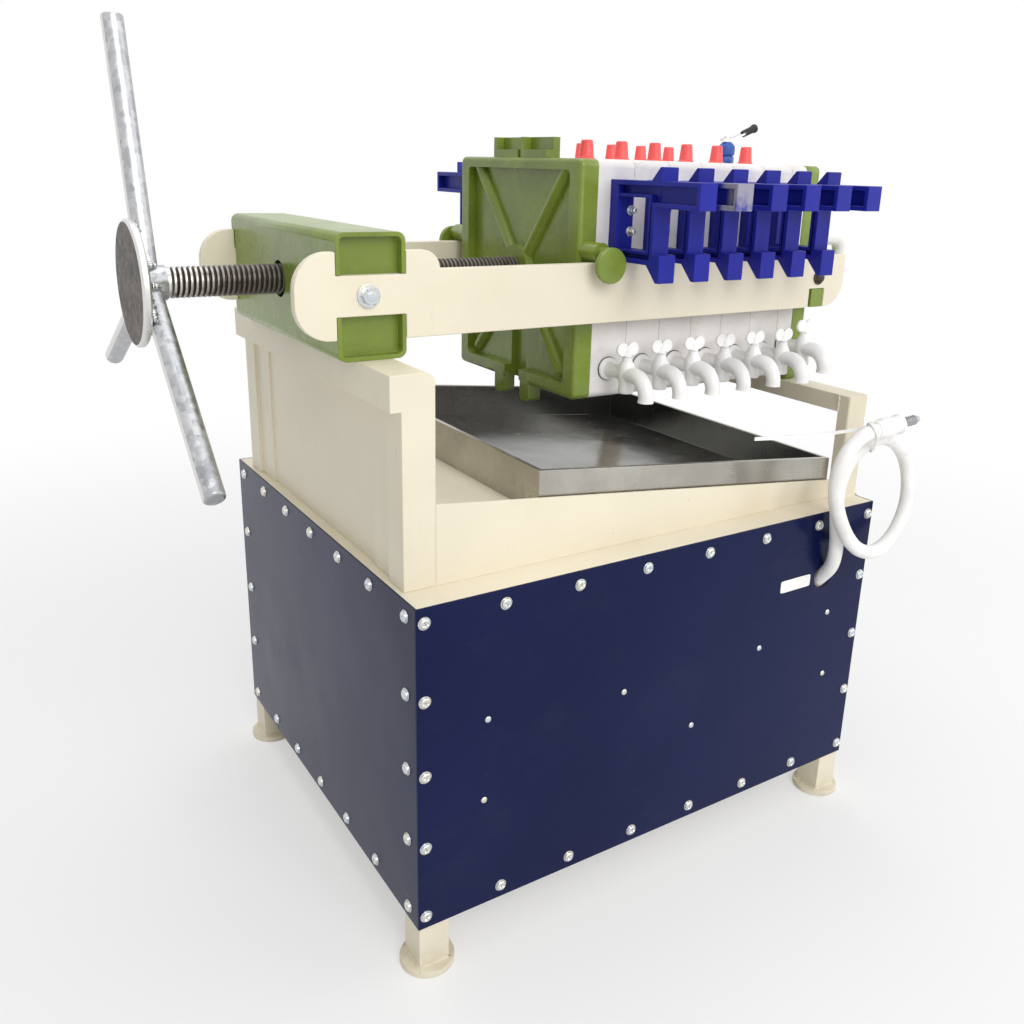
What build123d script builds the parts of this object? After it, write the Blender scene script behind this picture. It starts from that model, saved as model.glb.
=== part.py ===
from build123d import *
import math
import os

# Plate filter press on a closed stand.
# Millimetres. X runs along the screw from the hand rods to the inlet end, Y from front to back, Z up from the floor.
# While it is built, X counts from the cabinet's left end and Y from its front cover. At the end the whole machine
# is moved so that the origin lies on the floor under the middle of its bounding box.

# Cabinet
CABINET_LENGTH = 741.0
CABINET_DEPTH = 628.0
COVER_HEIGHT = 420.0
COVER_THICKNESS = 2.0
COVER_CLEARANCE = 67.0  # floor to the lower edge of the covers
LEG_TUBE = 40.0
TUBE_WALL = 3.0
FOOT_RADIUS = 34.0
FOOT_THICKNESS = 8.0
TOP_RAIL_WIDTH = 56.0
HOSE_HOLE_RADIUS = 18.5
HOSE_HOLE_FROM_RIGHT = 91.0
HOSE_HOLE_Z = 321.0  # above the cover's lower edge

# Upper stand
APRON_INSET = 45.0
SHEET = 3.0
APRON_TOP_LEFT = 97.0  # above the ledge, at the left end wall
APRON_TOP_RIGHT = 26.0  # above the ledge, at the portal
LIP_HEIGHT = 23.0
WALL_LEFT = 8.0
POST_TUBE = 40.0
WALL_TOP = 245.0  # above the ledge
CROSS_TUBE_OVERHANG = 13.0
CROSS_TUBE_HEIGHT = 40.0
WALL_SHEET_RECESS = 8.0
WALL_STRIP_WIDTH = 50.0
PORTAL_POST_WIDTH = 38.0
PORTAL_POST_DEPTH = 20.0
PORTAL_INSET = 33.0
PORTAL_HEIGHT = 152.0
PORTAL_BEAM_HEIGHT = 25.0
POST_ROUND = 12.0
TUBE_ROUND = 3.0

# Drip tray
TRAY_LENGTH = 508.0
TRAY_HEIGHT = 55.0
TRAY_END_GAP = 8.0
TRAY_HEM = 7.0
TRAY_SHEET = 2.0
TRAY_CLEARANCE = 3.0

# Press frame
AXIS_ABOVE_BEAM = 71.0  # screw axis above the crosshead's underside
BEAM_LEFT = -25.6
BEAM_WIDTH = 81.0
BEAM_HEIGHT = 138.0
BEAM_LENGTH = 370.0
BEAM_WALL = 5.0
BEAM_ROUND = 10.0
RAIL_THICKNESS = 12.0
RAIL_HEIGHT = 75.0
RAIL_TOP_ABOVE_AXIS = 26.0
RAIL_NECK = 44.0
RAIL_HEAD_HEIGHT = 94.0
RAIL_HEAD_LENGTH = 46.0
RAIL_END_LENGTH = 39.0
RAIL_END_ROUND = 37.0
RAIL_NOTCH_PLAY = 5.0
SLOT_CLEARANCE = 0.3
SCREW_HOLE_CLEARANCE = 4.0
END_PLATE_THICKNESS = 6.0
NUT_RADIUS = 32.0
NUT_LENGTH = 55.0

# Closing gear
SCREW_RADIUS = 18.0
SCREW_FIT = 0.08
HUB_RADIUS = 20.0
HUB_LEFT = -187.0
HUB_LENGTH = 29.0
DISC_RADIUS = 71.0
DISC_THICKNESS = 10.0
ROD_RADIUS = 12.0
ROD_LENGTH = 292.0
ROD_END_ROUND = 3.0
DISC_BEVEL = 2.5
ROD_ANGLES = (13.0, 116.0, 229.0)  # from straight up towards the back

# Moving head
HEAD_THICKNESS = 27.0
HEAD_POCKET = 12.0
HEAD_SIDE_RIM = 24.0
HEAD_TOP_RIM = 14.0
HEAD_BOTTOM_RIM = 18.0
HEAD_RIB = 19.0
HEAD_ROUND = 9.0
HEAD_FACE_ROUND = 6.0
POCKET_ROUND = 7.0
GROOVE_WIDTH = 39.0
GROOVE_DEPTH = 8.0
BOSS_RADIUS = 34.0
SCREW_SEAT = 6.0  # casting left behind the screw's end
LUG_HEIGHT = 26.0
LUG_WIDTH = 66.0
LUG_GAP = 8.0
LUG_STEP = 10.0
LUG_BACK = 10.0
LUG_CHEEK = 8.0
LUG_SETBACK = 5.0
FOOT_LUG_WIDTH = 23.0
FOOT_LUG_GAP = 46.0
FOOT_LUG_HEIGHT = 24.0
FOOT_LUG_DEPTH = 20.0
FOOT_LUG_ROUND = 6.0
TRUNNION_RADIUS = 12.0
TRUNNION_PIN_RADIUS = 7.0
GUIDE_RADIUS = 22.0
GUIDE_THICKNESS = 8.0
GUIDE_DROP = 14.0
GUIDE_GAP = 15.0

# Plate pack
PLATE_COUNT = 6
PLATE_WIDTH = 306.0
PLATE_HEIGHT = 304.0
PLATE_BOTTOM_BELOW_AXIS = 155.0
PLATE_PITCH = 56.85
PLATE_GAP = 0.3
END_PLATE_PACK = 30.8
PLATE_ROUND = 10.0
FEED_HOLE_RADIUS = 16.0
CHAMBER_DEPTH = 3.5
CHAMBER_RIM = 22.0
CAP_FLANGE_RADIUS = 11.0
CAP_FLANGE = 2.0
CAP_RADIUS = 9.5
CAP_TOP_RADIUS = 7.5
CAP_TOP_ROUND = 2.0
CAP_HEIGHT = 24.0
CAP_OFFSET = 86.0
FIXED_HEAD_THICKNESS = 26.0
FIXED_HEAD_SETBACK = 8.0  # from the portal's right side

# Side handles of the plates
HANDLE_THICKNESS = 28.0
HANDLE_WEB = 5.0
HANDLE_REACH = 166.0
HANDLE_HEIGHT = 99.0
HANDLE_SKIN = 6.0
ARM_HEIGHT = 31.0
HANDLE_BODY = 88.0  # from the plate's side to the upright's outer face
HANDLE_UPRIGHT = 12.0
HOOK_REACH = 102.0
HOOK_DROP = 20.0
HOOK_TOP = 14.0
HOOK_START = 76.0
TAB_HEIGHT = 16.0
TAB_BACK = 78.0
TAB_FRONT = 98.0
WINDOW_NEAR = 26.0
WINDOW_FAR = 80.0
WINDOW_BOTTOM = 16.0
WINDOW_TOP = 80.0
GRIP_LENGTH = 26.0

# Taps
TAP_HEIGHT = 116.0  # tap axis below the screw axis
END_TAP_RAISE = 10.0  # the end plate's tap above the others
TAP_OUT = 41.0  # plug axis from the plate's side
TAP_FLANGE_RADIUS = 15.0
TAP_FLANGE = 5.0
TAP_PIPE_RADIUS = 9.0
TAP_BODY_RADIUS = 11.0
TAP_BODY_UP = 22.0
TAP_BODY_DOWN = 24.0
SPOUT_RADIUS = 10.5
SPOUT_BEND = 24.0
SPOUT_LEVEL = 18.0
SPOUT_DROP = 5.0
KEY_STEM_RADIUS = 5.0
KEY_STEM = 9.0
KEY_SEAT = 6.0
KEY_FIT = 0.06
KEY_LOBE = 9.0
KEY_LOBE_OFFSET = 9.0
KEY_THICKNESS = 5.0

# Top valve and inlet on the fixed head
VALVE_BEHIND_AXIS = 31.0
VALVE_BODY_RADIUS = 13.0
VALVE_BODY_LENGTH = 34.0
VALVE_NIPPLE_RADIUS = 9.0
VALVE_NIPPLE = 12.0
LEVER_THICKNESS = 4.0
LEVER_LENGTH = 52.0
LEVER_WIDTH = 10.0
LEVER_RISE = 20.0
GRIP_RADIUS = 7.0
GRIP_SLEEVE = 26.0
INLET_FROM_SIDE = 3.0  # from the fixed head's front side
INLET_ABOVE_AXIS = 49.0
INLET_PIPE_RADIUS = 12.0
INLET_REACH = 66.0
INLET_BEND = 20.0
INLET_DROP = 30.0
INLET_COLLAR_RADIUS = 17.0
INLET_COLLAR = 22.0
ROD_WELD = 1.0

# Hose: it leaves the hole in the front cover on a slant, rises and goes once round in a loop
HOSE_RADIUS = 10.0
HOSE_ROUTE = [
    (653, 30, 357), (650, 3, 386), (647, -16, 409), (645, -21, 440), (643, -18, 477), (638, -15, 520),
    (648, -16, 558), (676, -18, 586), (715, -19, 594), (757, -18, 576), (787, -18, 535), (789, -23, 483),
    (759, -30, 441), (710, -37, 424), (661, -42, 440), (625, -43, 477), (602, -42, 524), (601, -41, 562),
    (618, -41, 593), (647, -41, 611), (676, -41, 613),
]
FERRULE_RADIUS = 14.5
FERRULE_LENGTH = 42.0
BARB_RADIUS = 7.0
BARB_LENGTH = 40.0
TIE_WIDTH = 5.0
TIE_THICKNESS = 1.5
TIE_SLACK = 1.4
TIE_HEAD = 7.0
TIE_ROUND_END = (664.0, -41.0, 612.0)  # on the hose beside the ferrule
TIE_ROUND_LOOP = (688.0, -18.5, 587.0)  # on the loop behind it
TIE_TIP = (454.0, -28.0, 625.0)
CORD_NODES = ("hose", "hose_end", "cable_tie")

# Worked out from the values above
MID_Y = CABINET_DEPTH / 2
LEDGE = COVER_CLEARANCE + COVER_HEIGHT
HOSE_HOLE_X = CABINET_LENGTH - HOSE_HOLE_FROM_RIGHT
WALL_RIGHT = WALL_LEFT + POST_TUBE
PORTAL_LEFT = CABINET_LENGTH - PORTAL_POST_WIDTH
PORTAL_TOP = LEDGE + PORTAL_HEIGHT
TRAY_RIGHT = PORTAL_LEFT - TRAY_END_GAP
TRAY_LEFT = TRAY_RIGHT - TRAY_LENGTH
BEAM_RIGHT = BEAM_LEFT + BEAM_WIDTH
BEAM_MID_X = BEAM_LEFT + BEAM_WIDTH / 2
BEAM_FRONT = MID_Y - BEAM_LENGTH / 2
BEAM_BACK = MID_Y + BEAM_LENGTH / 2
BEAM_BOTTOM = LEDGE + WALL_TOP
BEAM_TOP = BEAM_BOTTOM + BEAM_HEIGHT
AXIS_HEIGHT = BEAM_BOTTOM + AXIS_ABOVE_BEAM
RAIL_TOP = AXIS_HEIGHT + RAIL_TOP_ABOVE_AXIS
RAIL_BOTTOM = RAIL_TOP - RAIL_HEIGHT
NECK_BOTTOM = AXIS_HEIGHT - RAIL_NECK / 2
NECK_TOP = AXIS_HEIGHT + RAIL_NECK / 2
PLATE_BOTTOM = AXIS_HEIGHT - PLATE_BOTTOM_BELOW_AXIS
PLATE_TOP = PLATE_BOTTOM + PLATE_HEIGHT
PLATE_FRONT = MID_Y - PLATE_WIDTH / 2
PLATE_BACK = MID_Y + PLATE_WIDTH / 2
FIXED_RIGHT = CABINET_LENGTH - FIXED_HEAD_SETBACK
FIXED_LEFT = FIXED_RIGHT - FIXED_HEAD_THICKNESS
PACK_RIGHT = FIXED_LEFT
PACK_LEFT = PACK_RIGHT - END_PLATE_PACK - PLATE_COUNT * PLATE_PITCH
HEAD_LEFT = PACK_LEFT - HEAD_THICKNESS
TAP_AXIS = AXIS_HEIGHT - TAP_HEIGHT
TAP_Y = PLATE_FRONT - TAP_OUT
VALVE_Y = MID_Y + VALVE_BEHIND_AXIS
INLET_Y = PLATE_FRONT + INLET_FROM_SIDE
INLET_Z = AXIS_HEIGHT + INLET_ABOVE_AXIS


def box(x0, x1, y0, y1, z0, z1):
    """A box between two corners."""
    return Pos((x0 + x1) / 2, (y0 + y1) / 2, (z0 + z1) / 2) * Box(x1 - x0, y1 - y0, z1 - z0)


def rod_x(radius, x0, x1, y, z):
    """A cylinder along X."""
    return Pos((x0 + x1) / 2, y, z) * Rot(0, 90, 0) * Cylinder(radius, x1 - x0)


def rod_y(radius, x, y0, y1, z):
    """A cylinder along Y."""
    return Pos(x, (y0 + y1) / 2, z) * Rot(90, 0, 0) * Cylinder(radius, y1 - y0)


def rod_z(radius, x, y, z0, z1):
    """A cylinder along Z."""
    return Pos(x, y, (z0 + z1) / 2) * Cylinder(radius, z1 - z0)


def prism_x(points, x0, x1):
    """An outline of Y, Z points, extruded along X."""
    outline = Plane.YZ * make_face(Polyline(*points, close=True))
    return Pos(x0, 0, 0) * extrude(outline, x1 - x0)


def prism_y(points, y0, y1):
    """An outline of X, Z points, extruded along Y."""
    outline = Plane.XZ * make_face(Polyline(*points, close=True))
    return Pos(0, y1, 0) * extrude(outline, y1 - y0)


def to_back(shape):
    """The mirror image of a front piece at the back of the machine."""
    return mirror(shape, Plane.XZ.offset(-MID_Y))


def tube_x(x0, x1, y0, z0, width, height):
    """A rectangular tube along X."""
    outer = box(x0, x1, y0, y0 + width, z0, z0 + height)
    return outer - box(x0, x1, y0 + TUBE_WALL, y0 + width - TUBE_WALL, z0 + TUBE_WALL, z0 + height - TUBE_WALL)


def tube_y(y0, y1, x0, z0, width, height):
    """A rectangular tube along Y."""
    outer = box(x0, x0 + width, y0, y1, z0, z0 + height)
    return outer - box(x0 + TUBE_WALL, x0 + width - TUBE_WALL, y0, y1, z0 + TUBE_WALL, z0 + height - TUBE_WALL)


def tube_z(z0, z1, x0, y0, width, depth):
    """A rectangular tube along Z."""
    outer = box(x0, x0 + width, y0, y0 + depth, z0, z1)
    return outer - box(x0 + TUBE_WALL, x0 + width - TUBE_WALL, y0 + TUBE_WALL, y0 + depth - TUBE_WALL, z0, z1)


def base_frame():
    """Welded frame of square tube: four legs on round foot discs, a lower ring and a wider top ring."""
    left = COVER_THICKNESS
    right = CABINET_LENGTH - COVER_THICKNESS
    front = COVER_THICKNESS
    back = CABINET_DEPTH - COVER_THICKNESS
    low = COVER_CLEARANCE
    top = LEDGE - LEG_TUBE
    frame = Part()
    for x0 in (left, right - LEG_TUBE):
        for y0 in (front, back - LEG_TUBE):
            frame += tube_z(FOOT_THICKNESS, top, x0, y0, LEG_TUBE, LEG_TUBE)
            frame += rod_z(FOOT_RADIUS, x0 + LEG_TUBE / 2, y0 + LEG_TUBE / 2, 0, FOOT_THICKNESS)
    for y0 in (front, back - LEG_TUBE):
        frame += tube_x(left + LEG_TUBE, right - LEG_TUBE, y0, low, LEG_TUBE, LEG_TUBE)
    for x0 in (left, right - LEG_TUBE):
        frame += tube_y(front + LEG_TUBE, back - LEG_TUBE, x0, low, LEG_TUBE, LEG_TUBE)
    for y0 in (front, back - TOP_RAIL_WIDTH):
        frame += tube_x(left, right, y0, top, TOP_RAIL_WIDTH, LEG_TUBE)
    for x0 in (left, right - TOP_RAIL_WIDTH):
        frame += tube_y(front + TOP_RAIL_WIDTH, back - TOP_RAIL_WIDTH, x0, top, TOP_RAIL_WIDTH, LEG_TUBE)
    return frame


def cover_front():
    """Front cover sheet with the round hole for the hose."""
    sheet = box(0, CABINET_LENGTH, 0, COVER_THICKNESS, COVER_CLEARANCE, LEDGE)
    hole = rod_y(HOSE_HOLE_RADIUS, HOSE_HOLE_X, -1, COVER_THICKNESS + 1, COVER_CLEARANCE + HOSE_HOLE_Z)
    return sheet - hole


def cover_back():
    """Rear cover sheet."""
    return box(0, CABINET_LENGTH, CABINET_DEPTH - COVER_THICKNESS, CABINET_DEPTH, COVER_CLEARANCE, LEDGE)


def cover_end(x0):
    """One of the end cover sheets between the front and rear ones."""
    y0 = COVER_THICKNESS
    y1 = CABINET_DEPTH - COVER_THICKNESS
    return box(x0, x0 + COVER_THICKNESS, y0, y1, COVER_CLEARANCE, LEDGE)


def apron_top(x):
    """Height of the aprons' upper edge at X."""
    share = (x - WALL_RIGHT) / (PORTAL_LEFT - WALL_RIGHT)
    return LEDGE + APRON_TOP_LEFT + share * (APRON_TOP_RIGHT - APRON_TOP_LEFT)


def drip_deck():
    """Tapered front and rear aprons with the sloping deck between their lips."""
    left = WALL_RIGHT
    right = PORTAL_LEFT
    low_left = apron_top(left) - LIP_HEIGHT
    low_right = apron_top(right) - LIP_HEIGHT
    apron = [(left, LEDGE), (right, LEDGE), (right, apron_top(right)), (left, apron_top(left))]
    front = prism_y(apron, APRON_INSET, APRON_INSET + SHEET)
    slab = [(left, low_left - SHEET), (right, low_right - SHEET), (right, low_right), (left, low_left)]
    deck = prism_y(slab, APRON_INSET + SHEET, CABINET_DEPTH - APRON_INSET - SHEET)
    return front + deck + to_back(front)


def end_wall():
    """Left end wall: two posts, a recessed sheet with two flat strips, and the overhanging cross tube."""
    back_post = CABINET_DEPTH - APRON_INSET - POST_TUBE
    top = LEDGE + WALL_TOP
    low = top - CROSS_TUBE_HEIGHT
    wall = tube_z(LEDGE, low, WALL_LEFT, APRON_INSET, POST_TUBE, POST_TUBE)
    wall += tube_z(LEDGE, low, WALL_LEFT, back_post, POST_TUBE, POST_TUBE)
    sheet_x = WALL_LEFT + WALL_SHEET_RECESS
    wall += box(sheet_x, sheet_x + SHEET, APRON_INSET + POST_TUBE, back_post, LEDGE, low)
    near = APRON_INSET + POST_TUBE
    wall += box(sheet_x - SHEET, sheet_x, near, near + WALL_STRIP_WIDTH, LEDGE, low)
    wall += box(sheet_x - SHEET, sheet_x, back_post - WALL_STRIP_WIDTH, back_post, LEDGE, low)
    left = WALL_LEFT - CROSS_TUBE_OVERHANG
    cap = box(left, WALL_RIGHT, APRON_INSET, CABINET_DEPTH - APRON_INSET, low, top)
    corner = cap.edges().filter_by(Axis.Y).sort_by(Axis.X)[-2:].sort_by(Axis.Z)[-1]
    cap = fillet(corner, POST_ROUND)
    y1 = CABINET_DEPTH - APRON_INSET - TUBE_WALL
    hollow = box(left + TUBE_WALL, WALL_RIGHT - TUBE_WALL, APRON_INSET + TUBE_WALL, y1, low + TUBE_WALL, top - TUBE_WALL)
    core = hollow.edges().filter_by(Axis.Y).sort_by(Axis.X)[-2:].sort_by(Axis.Z)[-1]
    return wall + (cap - fillet(core, POST_ROUND - TUBE_WALL))


def portal():
    """Right-hand portal: two full-height posts with, between them, the hollow beam that carries the fixed head."""
    t = TUBE_WALL
    left, right = PORTAL_LEFT, CABINET_LENGTH
    back_post = CABINET_DEPTH - PORTAL_INSET - PORTAL_POST_DEPTH
    low = PORTAL_TOP - PORTAL_BEAM_HEIGHT
    gate = box(left, right, PORTAL_INSET + PORTAL_POST_DEPTH, back_post, low, PORTAL_TOP)
    core = box(left + t, right - t, PORTAL_INSET + t, CABINET_DEPTH - PORTAL_INSET - t, low + t, PORTAL_TOP - t)
    for y0 in (PORTAL_INSET, back_post):
        post = box(left, right, y0, y0 + PORTAL_POST_DEPTH, LEDGE, PORTAL_TOP)
        outer = 0 if y0 < MID_Y else -1
        gate += fillet(post.edges().filter_by(Axis.Z).group_by(Axis.Y)[outer], TUBE_ROUND)
        core += box(left + t, right - t, y0 + t, y0 + PORTAL_POST_DEPTH - t, LEDGE, PORTAL_TOP - t)
    return gate - core


def drip_tray():
    """Open sheet tray that lies on the sloping deck."""
    left = TRAY_LEFT
    right = TRAY_RIGHT
    y0 = APRON_INSET + SHEET + TRAY_CLEARANCE
    y1 = CABINET_DEPTH - y0
    low = [apron_top(x) - LIP_HEIGHT for x in (left, right)]
    outer = [(left, low[0]), (right, low[1]), (right, low[1] + TRAY_HEIGHT), (left, low[0] + TRAY_HEIGHT)]
    t = TRAY_SHEET
    slope = (low[1] - low[0]) / (right - left)
    floor = [low[0] + t + slope * t, low[1] + t - slope * t]
    over = TRAY_HEIGHT + t
    inner = [(left + t, floor[0]), (right - t, floor[1]), (right - t, floor[1] + over), (left + t, floor[0] + over)]
    tray = prism_y(outer, y0, y1) - prism_y(inner, y0 + t, y1 - t)
    tops = [low[0] + TRAY_HEIGHT, low[1] + TRAY_HEIGHT]
    hem = [(left, tops[0] - t), (right, tops[1] - t), (right, tops[1]), (left, tops[0])]
    opening = box(left + TRAY_HEM, right - TRAY_HEM, y0 + TRAY_HEM, y1 - TRAY_HEM, LEDGE, RAIL_BOTTOM)
    return tray + (prism_y(hem, y0, y1) - opening)


def crosshead():
    """Box beam that holds the screw's nut: slots for the rails' necks, recessed end plates, nut inside."""
    profile = Pos(BEAM_MID_X, (BEAM_BOTTOM + BEAM_TOP) / 2) * RectangleRounded(BEAM_WIDTH, BEAM_HEIGHT, BEAM_ROUND)
    inner_round = BEAM_ROUND - BEAM_WALL
    core_width = BEAM_WIDTH - 2 * BEAM_WALL
    core_height = BEAM_HEIGHT - 2 * BEAM_WALL
    core = Pos(BEAM_MID_X, (BEAM_BOTTOM + BEAM_TOP) / 2) * RectangleRounded(core_width, core_height, inner_round)
    tube = Pos(0, BEAM_BACK, 0) * extrude(Plane.XZ * (profile - core), BEAM_LENGTH)
    plate_at = BEAM_FRONT + RAIL_THICKNESS + SLOT_CLEARANCE
    plate = Pos(0, plate_at + END_PLATE_THICKNESS, 0) * extrude(Plane.XZ * core, END_PLATE_THICKNESS)
    slot = box(
        BEAM_LEFT - 1, BEAM_RIGHT + 1, BEAM_FRONT - 1, plate_at, NECK_BOTTOM - SLOT_CLEARANCE, NECK_TOP + SLOT_CLEARANCE
    )
    beam = tube + plate + to_back(plate) - slot - to_back(slot)
    nut_left = BEAM_MID_X - NUT_LENGTH / 2
    nut_right = BEAM_RIGHT - BEAM_WALL
    beam -= rod_x(SCREW_RADIUS + SCREW_HOLE_CLEARANCE, BEAM_LEFT - 1, BEAM_RIGHT + 1, MID_Y, AXIS_HEIGHT)
    nut = rod_x(NUT_RADIUS, nut_left, nut_right, MID_Y, AXIS_HEIGHT)
    bore = rod_x(SCREW_RADIUS + SCREW_FIT, nut_left - 1, nut_right + 1, MID_Y, AXIS_HEIGHT)
    return beam + (nut - bore)


def rail():
    """Front rail: a flat bar with a neck and a rounded head at the crosshead, and a neck and end at the fixed head."""
    head_low = AXIS_HEIGHT - RAIL_HEAD_HEIGHT / 2
    head_top = AXIS_HEIGHT + RAIL_HEAD_HEIGHT / 2
    head_left = BEAM_LEFT - SLOT_CLEARANCE - RAIL_HEAD_LENGTH
    body_left = BEAM_RIGHT + SLOT_CLEARANCE
    neck_left = FIXED_LEFT - RAIL_NOTCH_PLAY
    neck_right = FIXED_RIGHT + SLOT_CLEARANCE
    end = neck_right + RAIL_END_LENGTH
    y0 = BEAM_FRONT
    y1 = BEAM_FRONT + RAIL_THICKNESS
    bar = box(head_left, body_left, y0, y1, NECK_BOTTOM, NECK_TOP)
    dog = box(head_left, BEAM_LEFT - SLOT_CLEARANCE, y0, y1, head_low, head_top)
    dog = fillet(dog.edges().filter_by(Axis.Y).sort_by(Axis.X)[:2], RAIL_HEAD_LENGTH * 0.85)
    bar = (bar - box(head_left, BEAM_LEFT - SLOT_CLEARANCE, y0, y1, head_low, head_top)) + dog
    shoulder = box(body_left, body_left + 2 * (head_top - RAIL_TOP), y0, y1, RAIL_BOTTOM, head_top)
    shoulder = fillet(shoulder.edges().filter_by(Axis.Y).sort_by(Axis.X)[2:].sort_by(Axis.Z)[-1], head_top - RAIL_TOP)
    run = box(body_left, neck_left, y0, y1, RAIL_BOTTOM, RAIL_TOP)
    neck = box(neck_left, neck_right, y0, y1, NECK_BOTTOM, RAIL_TOP)
    stop = box(neck_right, end, y0, y1, RAIL_BOTTOM, RAIL_TOP)
    corners = stop.edges().filter_by(Axis.Y).sort_by(Axis.X)[2:].sort_by(Axis.Z)
    stop = fillet(corners[0], RAIL_END_ROUND)
    return bar + shoulder + run + neck + stop


def fixed_head():
    """Green end block at the inlet side with ears for the rails and a foot on the portal."""
    block = box(FIXED_LEFT, FIXED_RIGHT, PLATE_FRONT, PLATE_BACK, PORTAL_TOP, PLATE_TOP)
    block = fillet(block.edges().filter_by(Axis.X), HEAD_ROUND)
    ear = box(FIXED_LEFT, FIXED_RIGHT, BEAM_FRONT, PLATE_FRONT + HEAD_SIDE_RIM, RAIL_BOTTOM, RAIL_TOP)
    slot = box(FIXED_LEFT - 1, FIXED_RIGHT + 1, BEAM_FRONT - 1, BEAM_FRONT + RAIL_THICKNESS + SLOT_CLEARANCE,
               NECK_BOTTOM - SLOT_CLEARANCE, RAIL_TOP + 1)
    ear -= slot
    return block + ear + to_back(ear)


def rib(y, z, x):
    """A half-round rib in the head's pocket, from the boss to a point beside the rim, with a round outer end."""
    start = Vector(x, MID_Y, AXIS_HEIGHT)
    end = Vector(x, y, z)
    along = Plane(start, z_dir=end - start)
    length = (end - start).length
    bar = along * Pos(0, 0, length / 2) * Cylinder(HEAD_RIB / 2, length)
    return bar + Pos(x, y, z) * Sphere(HEAD_RIB / 2)


def top_lug(y0, y1, x1):
    """Lug on the head's top: a low step, a thin back plate and a cheek on its rear side."""
    x0 = HEAD_LEFT + LUG_SETBACK
    low = PLATE_TOP - HEAD_ROUND
    lug = box(x0, x1, y0, y1, low, PLATE_TOP + LUG_STEP)
    lug += box(x1 - LUG_BACK, x1, y0, y1, low, PLATE_TOP + LUG_HEIGHT)
    return lug + box(x0, x1, y1 - LUG_CHEEK, y1, low, PLATE_TOP + LUG_HEIGHT)


def foot_lug():
    """Front lug under the head with rounded lower corners."""
    near = MID_Y - FOOT_LUG_GAP / 2
    low = PLATE_BOTTOM - FOOT_LUG_HEIGHT
    lug = box(HEAD_LEFT, HEAD_LEFT + FOOT_LUG_DEPTH, near - FOOT_LUG_WIDTH, near, low, PLATE_BOTTOM + HEAD_BOTTOM_RIM)
    return fillet(lug.edges().filter_by(Axis.X).group_by(Axis.Z)[0], FOOT_LUG_ROUND)


def trunnion():
    """Front trunnion that slides on the rail, with the pin and the guide disc that hang outside the rail."""
    mid = HEAD_LEFT + HEAD_THICKNESS / 2
    guide_y = BEAM_FRONT - GUIDE_GAP - GUIDE_THICKNESS
    axis = RAIL_TOP + PLATE_GAP + TRUNNION_RADIUS
    arm = rod_y(TRUNNION_RADIUS, mid, BEAM_FRONT, PLATE_FRONT + HEAD_SIDE_RIM / 2, axis)
    arm += rod_y(TRUNNION_PIN_RADIUS, mid, guide_y, BEAM_FRONT, axis)
    disc = rod_y(GUIDE_RADIUS, mid, guide_y, guide_y + GUIDE_THICKNESS, axis - GUIDE_DROP)
    return arm + fillet(disc.edges().filter_by(GeomType.CIRCLE), GUIDE_THICKNESS / 4)


def moving_head():
    """Ribbed casting that presses the plates, with a centre boss, lugs, and trunnions that slide on the rails."""
    x0 = HEAD_LEFT
    x1 = PACK_LEFT - PLATE_GAP
    web = x0 + HEAD_POCKET
    block = box(x0, x1, PLATE_FRONT, PLATE_BACK, PLATE_BOTTOM, PLATE_TOP)
    block = fillet(block.edges().filter_by(Axis.X), HEAD_ROUND)
    block = fillet(block.faces().sort_by(Axis.X)[0].edges(), HEAD_FACE_ROUND)
    pocket = box(x0 - 1, web, PLATE_FRONT + HEAD_SIDE_RIM, PLATE_BACK - HEAD_SIDE_RIM,
                 PLATE_BOTTOM + HEAD_BOTTOM_RIM, PLATE_TOP - HEAD_TOP_RIM)
    head = block - fillet(pocket.edges().filter_by(Axis.X), POCKET_ROUND)
    side = PLATE_FRONT + HEAD_SIDE_RIM + HEAD_RIB
    for z in (PLATE_TOP - HEAD_TOP_RIM, PLATE_BOTTOM + HEAD_BOTTOM_RIM + HEAD_TOP_RIM):
        arm = rib(side, z, web)
        head += arm
        head += to_back(arm)
    groove = (MID_Y - GROOVE_WIDTH / 2, MID_Y + GROOVE_WIDTH / 2)
    head -= box(x0 - 1, web + GROOVE_DEPTH, *groove, PLATE_BOTTOM - 1, AXIS_HEIGHT)
    head += rod_x(BOSS_RADIUS, x0, web + GROOVE_DEPTH + 1, MID_Y, AXIS_HEIGHT)
    lug = foot_lug()
    head += lug + to_back(lug)
    head += top_lug(MID_Y - LUG_WIDTH, MID_Y - LUG_GAP / 2, x1)
    head += top_lug(MID_Y + LUG_GAP / 2, MID_Y + LUG_WIDTH, x1)
    arm = trunnion()
    head += arm + to_back(arm)
    return head - rod_x(SCREW_RADIUS + SCREW_FIT, x0 - 1, x1 - SCREW_SEAT, MID_Y, AXIS_HEIGHT)


def screw():
    """Closing screw from the hub to the seat in the moving head's boss; its thread is left plain."""
    end = PACK_LEFT - PLATE_GAP - SCREW_SEAT - SLOT_CLEARANCE
    return rod_x(SCREW_RADIUS, HUB_LEFT + HUB_LENGTH, end, MID_Y, AXIS_HEIGHT)


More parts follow.
